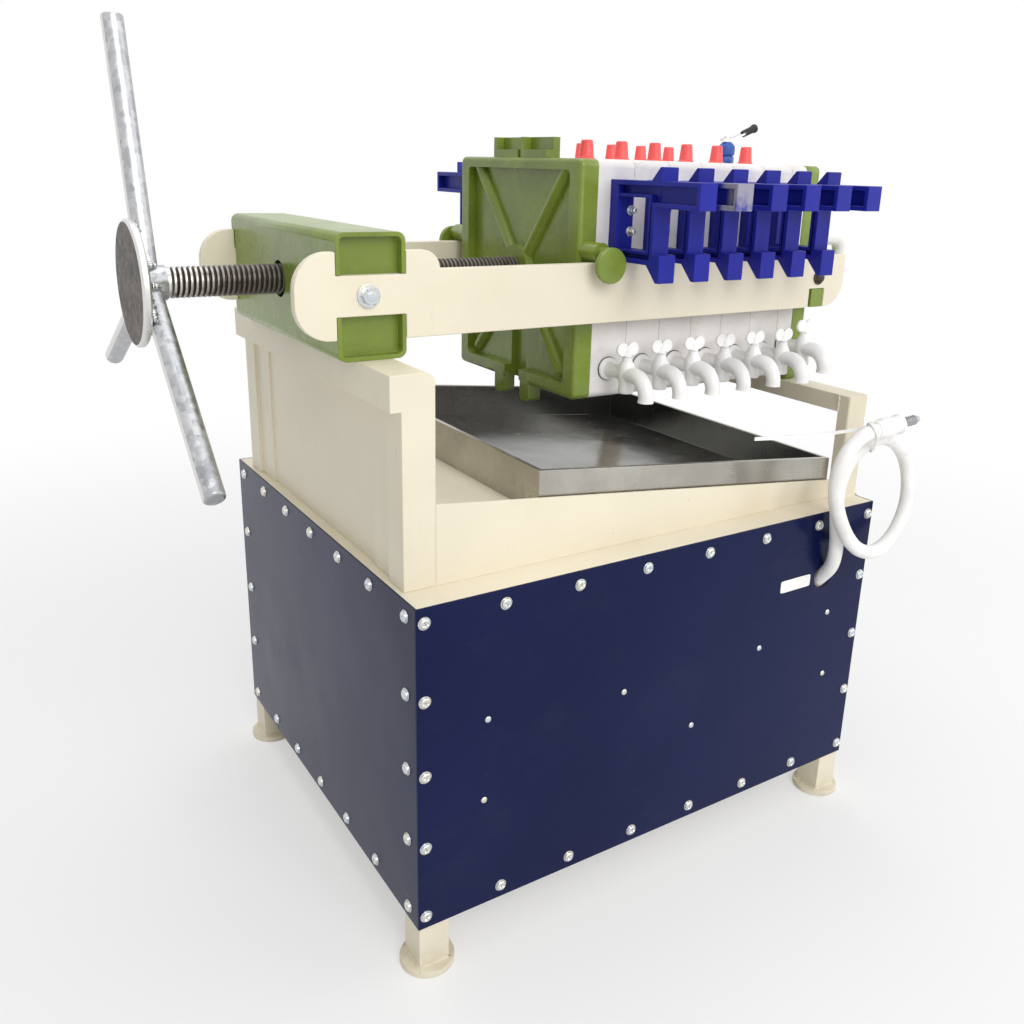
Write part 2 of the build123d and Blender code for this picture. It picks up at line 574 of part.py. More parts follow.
def hand_rods():
    """Disc, hub and three hand rods, welded together."""
    disc = rod_x(DISC_RADIUS, HUB_LEFT - DISC_THICKNESS, HUB_LEFT, MID_Y, AXIS_HEIGHT)
    disc = chamfer(disc.edges().filter_by(GeomType.CIRCLE), DISC_BEVEL)
    wheel = disc + rod_x(HUB_RADIUS, HUB_LEFT, HUB_LEFT + HUB_LENGTH, MID_Y, AXIS_HEIGHT)
    for angle in ROD_ANGLES:
        rod = Pos(HUB_LEFT + ROD_RADIUS - ROD_WELD, MID_Y, AXIS_HEIGHT) * Rot(-angle, 0, 0) * Pos(0, 0, ROD_LENGTH / 2)
        bar = Cylinder(ROD_RADIUS, ROD_LENGTH)
        wheel += rod * fillet(bar.edges().filter_by(GeomType.CIRCLE).sort_by(Axis.Z)[-1], ROD_END_ROUND)
    return wheel


def plate(index):
    """Filter plate with a shallow recess on both faces and the feed eye."""
    x0 = PACK_LEFT + index * PLATE_PITCH
    x1 = x0 + PLATE_PITCH - PLATE_GAP
    body = box(x0, x1, PLATE_FRONT, PLATE_BACK, PLATE_BOTTOM, PLATE_TOP)
    body = fillet(body.edges().filter_by(Axis.X), PLATE_ROUND)
    chamber = box(x0 - 1, x0 + CHAMBER_DEPTH, PLATE_FRONT + CHAMBER_RIM, PLATE_BACK - CHAMBER_RIM,
                  PLATE_BOTTOM + CHAMBER_RIM, PLATE_TOP - CHAMBER_RIM)
    body -= fillet(chamber.edges().filter_by(Axis.X), PLATE_ROUND)
    body -= Pos(x1 - x0 + 1 - CHAMBER_DEPTH, 0, 0) * fillet(chamber.edges().filter_by(Axis.X), PLATE_ROUND)
    return body - rod_x(FEED_HOLE_RADIUS, x0 - 1, x1 + 1, MID_Y, AXIS_HEIGHT)


def plate_caps(index):
    """The two caps on top of a filter plate."""
    mid = PACK_LEFT + (index + 0.5) * PLATE_PITCH - PLATE_GAP / 2
    y = MID_Y - CAP_OFFSET
    cone = Cone(CAP_RADIUS, CAP_TOP_RADIUS, CAP_HEIGHT)
    cone = fillet(cone.edges().filter_by(GeomType.CIRCLE).sort_by(Axis.Z)[-1], CAP_TOP_ROUND)
    cap = Pos(mid, y, PLATE_TOP + CAP_HEIGHT / 2) * cone + rod_z(CAP_FLANGE_RADIUS, mid, y, PLATE_TOP, PLATE_TOP + CAP_FLANGE)
    return Compound([cap, to_back(cap)])


def end_plate():
    """Thin plate against the fixed head."""
    x0 = PACK_LEFT + PLATE_COUNT * PLATE_PITCH
    x1 = PACK_RIGHT
    body = box(x0, x1, PLATE_FRONT, PLATE_BACK, PLATE_BOTTOM, PLATE_TOP)
    body = fillet(body.edges().filter_by(Axis.X), PLATE_ROUND)
    return body - rod_x(FEED_HOLE_RADIUS, x0 - 1, x1 + 1, MID_Y, AXIS_HEIGHT)


def tap_positions():
    """X and axis height of every tap: the middle of each filter plate, then of the end plate."""
    taps = [(PACK_LEFT + (index + 0.5) * PLATE_PITCH - PLATE_GAP / 2, TAP_AXIS) for index in range(PLATE_COUNT)]
    return taps + [(PACK_RIGHT - END_PLATE_PACK / 2, TAP_AXIS + END_TAP_RAISE)]


def tap_body(x, axis):
    """Plastic tap: flange, pipe, upright plug housing and a spout that bends down."""
    tap = rod_y(TAP_FLANGE_RADIUS, x, PLATE_FRONT - TAP_FLANGE, PLATE_FRONT, axis)
    tap += rod_y(TAP_PIPE_RADIUS, x, TAP_Y, PLATE_FRONT - TAP_FLANGE, axis)
    tap += rod_z(TAP_BODY_RADIUS, x, TAP_Y, axis - TAP_BODY_DOWN, axis + TAP_BODY_UP)
    start = Vector(x, TAP_Y, axis)
    turn = Vector(x, TAP_Y - SPOUT_LEVEL - SPOUT_BEND, axis)
    end = turn - Vector(0, 0, SPOUT_BEND + SPOUT_DROP)
    path = FilletPolyline(start, turn, end, radius=SPOUT_BEND)
    tap += sweep(Plane(start, x_dir=(1, 0, 0), z_dir=(0, -1, 0)) * Circle(SPOUT_RADIUS), path)
    seat = axis + TAP_BODY_UP
    return tap - rod_z(KEY_STEM_RADIUS + KEY_FIT, x, TAP_Y, seat - KEY_SEAT, seat + 1)


def tap_key(x, axis):
    """Butterfly key of a tap: a stem and two round lobes."""
    seat = axis + TAP_BODY_UP
    key = rod_z(KEY_STEM_RADIUS, x, TAP_Y, seat - KEY_SEAT + PLATE_GAP, seat + KEY_STEM)
    for side in (-1, 1):
        at = x + side * KEY_LOBE_OFFSET
        key += rod_y(KEY_LOBE, at, TAP_Y - KEY_THICKNESS / 2, TAP_Y + KEY_THICKNESS / 2, seat + KEY_STEM)
    return key


def handle_outline():
    """Outer outline of a side handle: distance out from the plate's side, height above the rail."""
    arm_low = HANDLE_HEIGHT - ARM_HEIGHT
    return [
        (0, 0), (HOOK_START, 0), (HOOK_REACH - HANDLE_SKIN, -HOOK_DROP), (HOOK_REACH, -HOOK_DROP),
        (HOOK_REACH, HOOK_TOP), (HANDLE_BODY, HOOK_TOP), (HANDLE_BODY, arm_low), (HANDLE_REACH, arm_low),
        (HANDLE_REACH, HANDLE_HEIGHT), (TAB_FRONT, HANDLE_HEIGHT), (TAB_FRONT, HANDLE_HEIGHT + TAB_HEIGHT),
        (TAB_FRONT - 4, HANDLE_HEIGHT + TAB_HEIGHT), (TAB_BACK, HANDLE_HEIGHT), (0, HANDLE_HEIGHT),
    ]


def handle_pocket(points, x0, x1):
    """A pocket in the handle, from points out from the plate's side and above the rail."""
    base = RAIL_TOP + PLATE_GAP
    return prism_x([(PLATE_FRONT - out, base + up) for out, up in points], x0, x1)


def side_handles(index):
    """Moulded handle that carries the plate on the front rail, with its mirror image at the back."""
    mid = PACK_LEFT + (index + 0.5) * PLATE_PITCH - PLATE_GAP / 2
    x0 = mid - HANDLE_THICKNESS / 2
    x1 = mid + HANDLE_THICKNESS / 2
    body = handle_pocket(handle_outline(), x0, x1)
    s = HANDLE_SKIN
    arm_low = HANDLE_HEIGHT - ARM_HEIGHT
    window = [(WINDOW_NEAR, WINDOW_BOTTOM), (WINDOW_FAR - s, WINDOW_BOTTOM), (WINDOW_FAR - s, arm_low - s),
              (WINDOW_NEAR, arm_low - s)]
    body -= handle_pocket(window, x0 - 1, x1 + 1)
    grip = [(HANDLE_REACH - GRIP_LENGTH, arm_low + s), (HANDLE_REACH - s, arm_low + s),
            (HANDLE_REACH - s, HANDLE_HEIGHT - s), (HANDLE_REACH - GRIP_LENGTH, HANDLE_HEIGHT - s)]
    arm = [(WINDOW_NEAR, arm_low + s), (HANDLE_REACH - GRIP_LENGTH - s, arm_low + s),
           (HANDLE_REACH - GRIP_LENGTH - s, HANDLE_HEIGHT - s), (WINDOW_NEAR, HANDLE_HEIGHT - s)]
    depth = (HANDLE_THICKNESS - HANDLE_WEB) / 2
    for outline in (grip, arm):
        body -= handle_pocket(outline, x0 - 1, x0 + depth)
        body -= handle_pocket(outline, x1 - depth, x1 + 1)
    return Compound([body, to_back(body)])


def valve_body():
    """Small ball valve on the fixed head: nipple and round body."""
    x = (FIXED_LEFT + FIXED_RIGHT) / 2
    valve = rod_z(VALVE_NIPPLE_RADIUS, x, VALVE_Y, PLATE_TOP, PLATE_TOP + VALVE_NIPPLE)
    return valve + rod_z(VALVE_BODY_RADIUS, x, VALVE_Y, PLATE_TOP + VALVE_NIPPLE, PLATE_TOP + VALVE_BODY_LENGTH)


def valve_lever():
    """Cranked flat lever with a round sleeve grip."""
    x = (FIXED_LEFT + FIXED_RIGHT) / 2
    z = PLATE_TOP + VALVE_BODY_LENGTH + PLATE_GAP
    lever = box(x - LEVER_WIDTH, x + LEVER_WIDTH, VALVE_Y - LEVER_WIDTH / 2, VALVE_Y + LEVER_WIDTH / 2, z, z + LEVER_THICKNESS)
    slope = math.degrees(math.atan2(LEVER_RISE, LEVER_LENGTH))
    length = math.hypot(LEVER_RISE, LEVER_LENGTH)
    at = Pos(x + LEVER_WIDTH / 2, VALVE_Y, z + LEVER_THICKNESS / 2) * Rot(0, -slope, 0)
    lever += at * Pos(length / 2, 0, 0) * Box(length, LEVER_WIDTH, LEVER_THICKNESS)
    lever += at * Pos(length - GRIP_SLEEVE / 2, 0, 0) * Rot(0, 90, 0) * Cylinder(GRIP_RADIUS, GRIP_SLEEVE)
    return lever


def inlet():
    """Inlet elbow on the fixed head's outer face: a short pipe, a bend down and a collar."""
    start = Vector(FIXED_RIGHT, INLET_Y, INLET_Z)
    corner = start + Vector(INLET_REACH, 0, 0)
    end = corner - Vector(0, 0, INLET_DROP + INLET_BEND)
    path = FilletPolyline(start, corner, end, radius=INLET_BEND)
    pipe = sweep(Plane(start, x_dir=(0, 1, 0), z_dir=(1, 0, 0)) * Circle(INLET_PIPE_RADIUS), path)
    return pipe + rod_z(INLET_COLLAR_RADIUS, corner.X, INLET_Y, end.Z, end.Z + INLET_COLLAR)


def hose_points():
    """The hose's route as vectors."""
    return [Vector(*point) for point in HOSE_ROUTE]


def route_radii(points):
    """For each inner point, 0.45 of the shorter run divided by the tangent of half the turn."""
    radii = []
    for before, here, after in zip(points, points[1:], points[2:]):
        turn = (here - before).get_angle(after - here)
        shorter = min((here - before).length, (after - here).length)
        radii.append(0.45 * shorter / math.tan(math.radians(turn / 2)))
    return radii


def hose():
    """Braided hose from the hole in the front cover, up and once round in a loop."""
    points = hose_points()
    radii = route_radii(points)
    print("hose radii", [round(radius) for radius in radii])
    path = FilletPolyline(*points, radius=radii)
    tube = sweep(Plane(points[0], z_dir=points[1] - points[0]) * Circle(HOSE_RADIUS), path)
    print("hose length", round(path.length), "volume ratio", tube.volume / (path.length * math.pi * HOSE_RADIUS**2))
    return tube


def hose_end():
    """Plastic ferrule and metal barb on the hose's free end."""
    points = hose_points()
    along = Plane(points[-1], z_dir=points[-1] - points[-2])
    end = along * Pos(0, 0, FERRULE_LENGTH / 2) * Cylinder(FERRULE_RADIUS, FERRULE_LENGTH)
    return end + along * Pos(0, 0, FERRULE_LENGTH + BARB_LENGTH / 2) * Cylinder(BARB_RADIUS, BARB_LENGTH)


def cable_tie():
    """Cable tie: a flat band on a slant round the hose's end and its loop, with a long straight tail."""
    near = Vector(*TIE_ROUND_END)
    far = Vector(*TIE_ROUND_LOOP)
    reach = far - near
    across = (Vector(1, 0, 0) - reach * (reach.X / reach.length**2)).normalized()
    spread = reach.length + 2 * HOSE_RADIUS * (1 / across.X - 1)
    inner = 2 * (HOSE_RADIUS + TIE_SLACK)
    band = SlotCenterToCenter(spread, inner + 2 * TIE_THICKNESS) - SlotCenterToCenter(spread, inner)
    around = Plane((near + far) / 2, x_dir=reach, z_dir=across)
    tie = around * extrude(band, TIE_WIDTH / 2, both=True)
    head = around.location * Pos(0, inner / 2 + TIE_HEAD / 2, 0)
    tie += head * Box(TIE_HEAD, TIE_HEAD, TIE_HEAD)
    tip = Vector(*TIE_TIP)
    tail = Plane((head.position + tip) / 2, x_dir=tip - head.position, z_dir=(0, -1, 0))
    return tie + tail * Box((tip - head.position).length, TIE_WIDTH, TIE_THICKNESS)


def save(name, shape):
    """Write one sub-part as a STEP file."""
    export_step(shape, f"parts/{name}.step")


def build():
    """All sub-parts by node name, in the cabinet's frame."""
    nodes = {
        "base_frame": base_frame(),
        "cover_front": cover_front(),
        "cover_back": cover_back(),
        "cover_ends": Compound([cover_end(0), cover_end(CABINET_LENGTH - COVER_THICKNESS)]),
        "drip_deck": drip_deck(),
        "end_wall": end_wall(),
        "portal": portal(),
        "drip_tray": drip_tray(),
        "crosshead": crosshead(),
        "rails": Compound([rail(), to_back(rail())]),
        "fixed_head": fixed_head(),
        "end_plate": end_plate(),
        "inlet": inlet(),
        "hose": hose(),
        "hose_end": hose_end(),
        "cable_tie": cable_tie(),
        "valve_body": valve_body(),
        "valve_lever": valve_lever(),
        "moving_head": moving_head(),
        "screw": screw(),
        "hand_rods": hand_rods(),
    }
    for index in range(PLATE_COUNT):
        nodes[f"plate_{index + 1}"] = plate(index)
        nodes[f"caps_{index + 1}"] = plate_caps(index)
        nodes[f"handles_{index + 1}"] = side_handles(index)
    for index, (x, axis) in enumerate(tap_positions()):
        nodes[f"tap_{index + 1}"] = tap_body(x, axis)
        nodes[f"tap_key_{index + 1}"] = tap_key(x, axis)
    return nodes


def main():
    os.makedirs("parts", exist_ok=True)
    nodes = build()
    bounds = Compound([shape for name, shape in nodes.items() if name not in CORD_NODES]).bounding_box()
    centre = Vector((bounds.min.X + bounds.max.X) / 2, (bounds.min.Y + bounds.max.Y) / 2, bounds.min.Z)
    print("origin in the cabinet's frame", centre)
    for name, shape in nodes.items():
        save(name, Pos(-centre.X, -centre.Y, -centre.Z) * shape)


main()
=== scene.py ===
"""Plate filter press: finishes, thread, taps, hose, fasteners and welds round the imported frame.

Shapes are worked out in machine millimetres:
X from the cabinet's left end, Y from its front cover, Z from the floor.
"""

import bpy
import math
import numpy as np
from mathutils import Matrix, Quaternion, Vector


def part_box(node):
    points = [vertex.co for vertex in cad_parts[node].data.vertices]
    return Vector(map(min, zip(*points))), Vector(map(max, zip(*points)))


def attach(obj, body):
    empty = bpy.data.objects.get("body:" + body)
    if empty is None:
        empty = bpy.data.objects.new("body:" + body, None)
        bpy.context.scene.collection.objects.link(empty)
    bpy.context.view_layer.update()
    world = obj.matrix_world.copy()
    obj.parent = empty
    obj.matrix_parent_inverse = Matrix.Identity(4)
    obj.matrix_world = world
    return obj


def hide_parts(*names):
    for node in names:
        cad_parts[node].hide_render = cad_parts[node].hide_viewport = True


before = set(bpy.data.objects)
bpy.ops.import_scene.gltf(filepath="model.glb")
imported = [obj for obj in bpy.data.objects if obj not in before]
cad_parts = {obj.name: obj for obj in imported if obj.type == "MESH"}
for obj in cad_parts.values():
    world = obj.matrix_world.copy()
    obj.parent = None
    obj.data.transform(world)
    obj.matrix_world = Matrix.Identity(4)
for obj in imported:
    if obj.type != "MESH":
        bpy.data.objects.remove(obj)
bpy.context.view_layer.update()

bl_info = {
    "name": "Plate filter press",
    "version": (1, 0, 0),
    "blender": (4, 5, 0),
    "location": "View3D > Sidebar > Filter press",
    "description": "Finishes and small parts of a hand-closed plate filter press",
    "category": "Add Mesh",
}

MM = 0.001
COVER_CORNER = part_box("cover_front")[0]
MACHINE_ORIGIN = np.array([COVER_CORNER.x, COVER_CORNER.y, 0.0])


def measure(node):
    """Lowest and highest corner of a node in machine millimetres."""
    return [(np.array(corner) - MACHINE_ORIGIN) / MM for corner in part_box(node)]


# Places taken from the frame
COVER_LOW, COVER_HIGH = measure("cover_front")
BACK_COVER_Y = measure("cover_back")[1][1]
CABINET_LENGTH = COVER_HIGH[0]
COVER_BOTTOM = COVER_LOW[2]
COVER_TOP = COVER_HIGH[2]
SCREW_LOW, SCREW_HIGH = measure("screw")
AXIS_Y = (SCREW_LOW[1] + SCREW_HIGH[1]) / 2
AXIS_Z = (SCREW_LOW[2] + SCREW_HIGH[2]) / 2
SCREW_RADIUS = (SCREW_HIGH[2] - SCREW_LOW[2]) / 2
RAIL_FRONT = measure("rails")[0][1]
TRAY_LOW, TRAY_HIGH = measure("drip_tray")
PLATE_FRONT = measure("plate_1")[0][1]
PLATE_COUNT = sum(name.startswith("plate_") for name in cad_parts)
TAP_COUNT = sum(name.startswith("tap_key_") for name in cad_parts)

# Stand
GRIME_HEIGHT = 60.0
TRAY_WALL = 55.0  # the rest of the tray's height is its fall towards the right
SHADE_INSET = (0.8, 1.6)  # where the painted shade inside the tray starts and is full, in from the tray's sides
SHADE_DROP = (3.5, 2.5)  # where it starts to end and is gone, down from the hem

# Screw and wheel
THREAD_PITCH = 6.0
THREAD_DEPTH = 2.2
COLLAR_END = -156.0
RUBBED_THREAD = (-150.0, -75.0)  # the crests go from rubbed to greased between these
DISC_FACE = measure("hand_rods")[0][0] + 10.0
DISC_RIM = 68.3  # from the axis, where the disc's bevel starts
HUB_RADIUS = 20.0
ROD_RADIUS = 12.0
ROD_ANGLES = (13.0, 116.0, 229.0)  # from straight up towards the back
ROD_WELD = (17.0, 66.0)  # from the axis along each rod
HUB_BEAD, ROD_BEAD, CORNER_BEAD = 5.2, 5.4, 5.0

# Hose route, the same points as in the part's source
HOSE_ROUTE = [
    (653, 30, 357), (650, 3, 386), (647, -16, 409), (645, -21, 440), (643, -18, 477), (638, -15, 520),
    (648, -16, 558), (676, -18, 586), (715, -19, 594), (757, -18, 576), (787, -18, 535), (789, -23, 483),
    (759, -30, 441), (710, -37, 424), (661, -42, 440), (625, -43, 477), (602, -42, 524), (601, -41, 562),
    (618, -41, 593), (647, -41, 611), (676, -41, 613),
]
HOSE_RADIUS = 10.0
FERRULE_LENGTH = 42.0
BARB_LENGTH = 40.0
TIE_ROUND_END = (664.0, -41.0, 612.0)
TIE_ROUND_LOOP = (688.0, -18.5, 587.0)
TIE_TIP = (454.0, -28.0, 625.0)
TIE_GAP = 2.15  # from the hose's side to the middle of the strap
TIE_HEAD = (7.0, 6.4, 6.4)
TIE_HEAD_RISE = 2.9
TIE_WIDTH, TIE_THICKNESS = 4.6, 1.4
TIE_SAG = 3.0


# Shapes

FORWARDS = (0, -1, 0)  # the way that the press's front faces


class Shape:
    """Points in millimetres and faces of four corners, where a triangle repeats one. Shapes add up with +."""

    def __init__(self, points, faces):
        self.points = np.asarray(points, float).reshape(-1, 3)
        self.faces = np.asarray(faces, int).reshape(-1, 4)

    def __add__(self, other):
        return Shape(np.vstack([self.points, other.points]),
                     np.vstack([self.faces, other.faces + len(self.points)]))

    def moved(self, matrix):
        """The shape carried by a 4 by 4 matrix; a mirroring matrix turns the faces round as well."""
        matrix = np.array(matrix)
        points = self.points @ matrix[:3, :3].T + matrix[:3, 3]
        mirroring = np.linalg.det(matrix[:3, :3]) < 0
        return Shape(points, self.faces[:, ::-1] if mirroring else self.faces)

    def at(self, x, y, z):
        """The shape shifted by x, y, z."""
        return Shape(self.points + np.array([x, y, z]), self.faces)


def sheet_of(grid, wrap_rows=False, wrap_columns=False):
    """Faces over a grid of points; a wrapped direction joins its last line to its first."""
    rows, columns = grid.shape[:2]
    index = np.arange(rows * columns).reshape(rows, columns)
    if wrap_rows:
        index = np.vstack([index, index[:1]])
    if wrap_columns:
        index = np.hstack([index, index[:, :1]])
    corners = [index[:-1, :-1], index[1:, :-1], index[1:, 1:], index[:-1, 1:]]
    return Shape(grid.reshape(-1, 3), np.stack(corners, axis=-1).reshape(-1, 4))


def shell_of(grid, wrap_rows=False):
    """A closed shell over a grid, wrapped along its columns and shut by a fan at each end of its rows."""
    if not wrap_rows:
        first = np.broadcast_to(grid[0].mean(axis=0), grid[0].shape)
        last = np.broadcast_to(grid[-1].mean(axis=0), grid[-1].shape)
        grid = np.concatenate([first[None], grid, last[None]])
    return closed(sheet_of(grid, wrap_rows, True))


def closed(shape):
    """Points that coincide become one, and the faces are turned so that the enclosed volume is positive."""
    near = np.round(shape.points, 4)
    _, first, inverse = np.unique(near, axis=0, return_index=True, return_inverse=True)
    points = shape.points[first]
    faces = inverse.reshape(-1)[shape.faces]
    a, b, c, d = (points[faces[:, k]] for k in range(4))
    volume = np.einsum("ij,ij->", a, np.cross(b, c)) + np.einsum("ij,ij->", a, np.cross(c, d))
    return Shape(points, faces if volume > 0 else faces[:, ::-1])


def around(steps):
    """Even angles once round a circle, without the last that repeats the first."""
    return np.linspace(0, 2 * math.pi, steps, endpoint=False)


def circle(radius, steps):
    """Points on a circle, as columns of cosine and sine."""
    angle = around(steps)
    return radius * np.stack([np.cos(angle), np.sin(angle)], axis=1)


def lathe(profile, steps=32):
    """A profile of radius and height turned about Z: x = r cos a, y = r sin a, z = h."""
    profile = np.asarray(profile, float)
    ring = circle(1.0, steps)
    flat = profile[:, None, :1] * ring[None]
    height = np.broadcast_to(profile[:, None, 1:], (len(profile), steps, 1))
    return shell_of(np.concatenate([flat, height], axis=2))


def rounded(profile, bevel, steps=3):
    """A profile whose inner corners become quadratic arcs that start and end a bevel away from them."""
    profile = np.asarray(profile, float)
    t = np.linspace(0, 1, steps + 1)[:, None]
    line = [profile[:1]]
    for before, here, after in zip(profile, profile[1:], profile[2:]):
        reach = [min(bevel, 0.45 * np.linalg.norm(end - here)) for end in (before, after)]
        start = here + (before - here) * reach[0] / max(np.linalg.norm(before - here), 1e-9)
        end = here + (after - here) * reach[1] / max(np.linalg.norm(after - here), 1e-9)
        line.append((1 - t) ** 2 * start + 2 * t * (1 - t) * here + t ** 2 * end)
    return np.vstack(line + [profile[-1:]])


def turned(profile, bevel, steps=32, rings=3):
    """A profile of radius and height with its corners rounded, turned about Z."""
    return lathe(rounded(profile, bevel, rings), steps)


def disc(radius, height, bevel, steps=32):
    """A round plate that stands on Z = 0, with its rims rounded."""
    return turned([(0, 0), (radius, 0), (radius, height), (0, height)], bevel, steps)


def along(path, section, up=(0, 0, 1), scale=None, wrap=False):
    """A section carried along a path: each ring is path + s u side + s v top, where side is square to the
    tangent and to up, top is square to both, and s is the ring's own scale."""
    path = np.asarray(path, float)
    section = np.asarray(section, float)
    if wrap:
        tangent = np.roll(path, -1, axis=0) - np.roll(path, 1, axis=0)
    else:
        tangent = np.gradient(path, axis=0)
    tangent /= np.linalg.norm(tangent, axis=1, keepdims=True)
    side = np.cross(tangent, np.asarray(up, float))
    side /= np.linalg.norm(side, axis=1, keepdims=True)
    top = np.cross(side, tangent)
    size = np.ones(len(path)) if scale is None else np.asarray(scale, float)
    grid = path[:, None] + size[:, None, None] * (
        section[None, :, :1] * side[:, None] + section[None, :, 1:] * top[:, None])
    return shell_of(grid, wrap)


def smooth_line(points, steps):
    """A curve through the middles of a few points' runs, as a chain of quadratic arcs with the ends kept."""
    points = np.asarray(points, float)
    middles = np.vstack([points[:1], (points[1:-2] + points[2:-1]) / 2, points[-1:]])
    t = np.linspace(0, 1, steps, endpoint=False)[:, None]
    arcs = [(1 - t) ** 2 * a + 2 * t * (1 - t) * p + t ** 2 * b
            for a, p, b in zip(middles, points[1:-1], middles[1:])]
    return np.vstack(arcs + [points[-1:]])


def pillow(size, power, steps=20):
    """A block with soft edges: the superellipsoid |x/a|^p + |y/b|^p + |z/c|^p = 1 over two angles."""
    u = np.linspace(-math.pi / 2, math.pi / 2, steps)[:, None]
    v = np.linspace(-math.pi, math.pi, 2 * steps, endpoint=False)[None]
    waves = (np.cos(u), np.sin(u), np.cos(v), np.sin(v))
    cos_u, sin_u, cos_v, sin_v = (np.sign(wave) * np.abs(wave) ** (2 / power) for wave in waves)
    grid = np.stack([cos_u * cos_v, cos_u * sin_v, sin_u * np.ones_like(v)], axis=-1)
    return shell_of(grid * np.asarray(size, float) / 2)


def hexagon(across, height, chamfer, steps=48):
    """A hexagon head: over angle a the radius is the flat's distance over the cosine to the nearest flat,
    cut by a cone at both ends."""
    angle = around(steps)
    local = (angle + math.pi / 6) % (math.pi / 3) - math.pi / 6
    outline = across / 2 / np.cos(local)
    inner = np.minimum(outline, across / 2 + 0.1)
    rows = [(inner - 0.2, 0.0), (outline, chamfer), (outline, height - chamfer), (inner - 0.2, height)]
    rings = [np.stack([r * np.cos(angle), r * np.sin(angle), np.full(steps, h)], axis=1) for r, h in rows]
    return shell_of(np.stack(rings))


def cuboid(x0, x1, y0, y1, z0, z1):
    """A box between two corners."""
    points = [(x, y, z) for x in (x0, x1) for y in (y0, y1) for z in (z0, z1)]
    faces = [(0, 1, 3, 2), (4, 6, 7, 5), (0, 4, 5, 1), (2, 3, 7, 6), (0, 2, 6, 4), (1, 5, 7, 3)]
    return closed(Shape(points, faces))


def inset(outline, width):
    """A closed outline drawn inwards: each corner moves to where its two edges' shifted lines cross."""
    outline = np.asarray(outline, float)
    edge = np.roll(outline, -1, axis=0) - outline
    edge /= np.linalg.norm(edge, axis=1, keepdims=True)
    inward = np.stack([-edge[:, 1], edge[:, 0]], axis=1)
    before = np.roll(inward, 1, axis=0)
    return outline + width * (inward + before) / (1 + np.sum(inward * before, axis=1, keepdims=True))


def band(outline, width, x0, x1):
    """A wall that runs along an outline of Y, Z points, reaches inwards by its width and spans x0 to x1."""
    outer, inner = np.asarray(outline, float), inset(outline, width)
    rows = [np.insert(line, 0, x, axis=1) for line, x in ((outer, x0), (outer, x1), (inner, x1), (inner, x0))]
    return shell_of(np.stack(rows), True)


def prism(outline, x0, x1):
    """A convex outline of Y, Z points, extruded from x0 to x1."""
    outline = np.asarray(outline, float)
    return shell_of(np.stack([np.insert(outline, 0, x, axis=1) for x in (x0, x1)]))


def facing(direction, place, turn=0.0):
    """Matrix that carries +Z to a direction, after a turn about Z, and then to a place."""
    swing = Vector((0, 0, 1)).rotation_difference(Vector(direction))
    return Matrix.Translation(place) @ swing.to_matrix().to_4x4() @ Matrix.Rotation(turn, 4, "Z")


def gathered(shape, places):
    """One shape set at many places, each a 4 by 4 matrix."""
    total = shape.moved(places[0])
    for place in places[1:]:
        total += shape.moved(place)
    return total


def mirrored(shape):
    """The same shape at the back of the machine."""
    across = np.diag([1.0, -1.0, 1.0, 1.0])
    across[1, 3] = 2 * AXIS_Y
    return shape.moved(across)


def placed(name, data):
    """A new object at the origin, in the scene."""
    made = bpy.data.objects.new(name, data)
    bpy.context.scene.collection.objects.link(made)
    return made


def to_object(name, shape, crease):
    """A mesh object at the origin with the shape's points in metres of the frame."""
    faces = shape.faces
    kept = faces != np.roll(faces, -1, axis=1)
    whole = kept.sum(axis=1) >= 3
    counts = kept[whole].sum(axis=1)
    loops = faces[whole][kept[whole]]
    mesh = bpy.data.meshes.new(name)
    mesh.vertices.add(len(shape.points))
    mesh.vertices.foreach_set("co", (shape.points * MM + MACHINE_ORIGIN).ravel())
    mesh.loops.add(len(loops))
    mesh.loops.foreach_set("vertex_index", loops)
    mesh.polygons.add(len(counts))
    mesh.polygons.foreach_set("loop_start", np.cumsum(counts) - counts)
    mesh.update(calc_edges=True)
    mesh.validate()
    mesh.shade_smooth()
    mesh.set_sharp_from_angle(angle=math.radians(crease))
    return placed(name, mesh)


def fit(made, body, finish, nodes=()):
    """Let a piece ride on its body, give it its finish and let it stand for nodes."""
    made.data.materials.append(finish_for(finish))
    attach(made, body)
    if nodes:
        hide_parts(*nodes)
    return made


def piece(name, shape, body, finish, nodes=(), crease=38.0):
    """A mesh piece with all that fit gives it."""
    return fit(to_object(name, shape, crease), body, finish, nodes)


# Finishes

def with_alpha(colour):
    """A colour as a socket takes it: a wire, or red, green, blue and 1."""
    return colour if isinstance(colour, Wire) else (*colour, 1.0)


class Wire:
    """An output in a material's node tree; arithmetic on it adds Math nodes."""

    def __init__(self, recipe, socket):
        self.recipe = recipe
        self.socket = socket

    def maths(self, operation, first, second, clamp=False):
        settings = {"operation": operation, "use_clamp": clamp}
        return self.recipe.node("Math", settings, {0: first, 1: second})

    def __add__(self, other):
        return self.maths("ADD", self, other)

    __radd__ = __add__

    def __mul__(self, other):
        return self.maths("MULTIPLY", self, other)

    __rmul__ = __mul__

    def __sub__(self, other):
        return self.maths("SUBTRACT", self, other)

    def __rsub__(self, other):
        return self.maths("SUBTRACT", other, self)

    def __truediv__(self, other):
        return self.maths("DIVIDE", self, other)

    def __pow__(self, other):
        return self.maths("POWER", self, other)

    def most(self, other):
        return self.maths("MAXIMUM", self, other)

    def clamped(self):
        return self.maths("ADD", self, 0.0, True)

    def between(self, low, high):
        """0 below low, 1 above high and a smooth step between them."""
        settings = {"interpolation_type": "SMOOTHSTEP"}
        return self.recipe.node("MapRange", settings, {"Value": self, "From Min": low, "From Max": high})


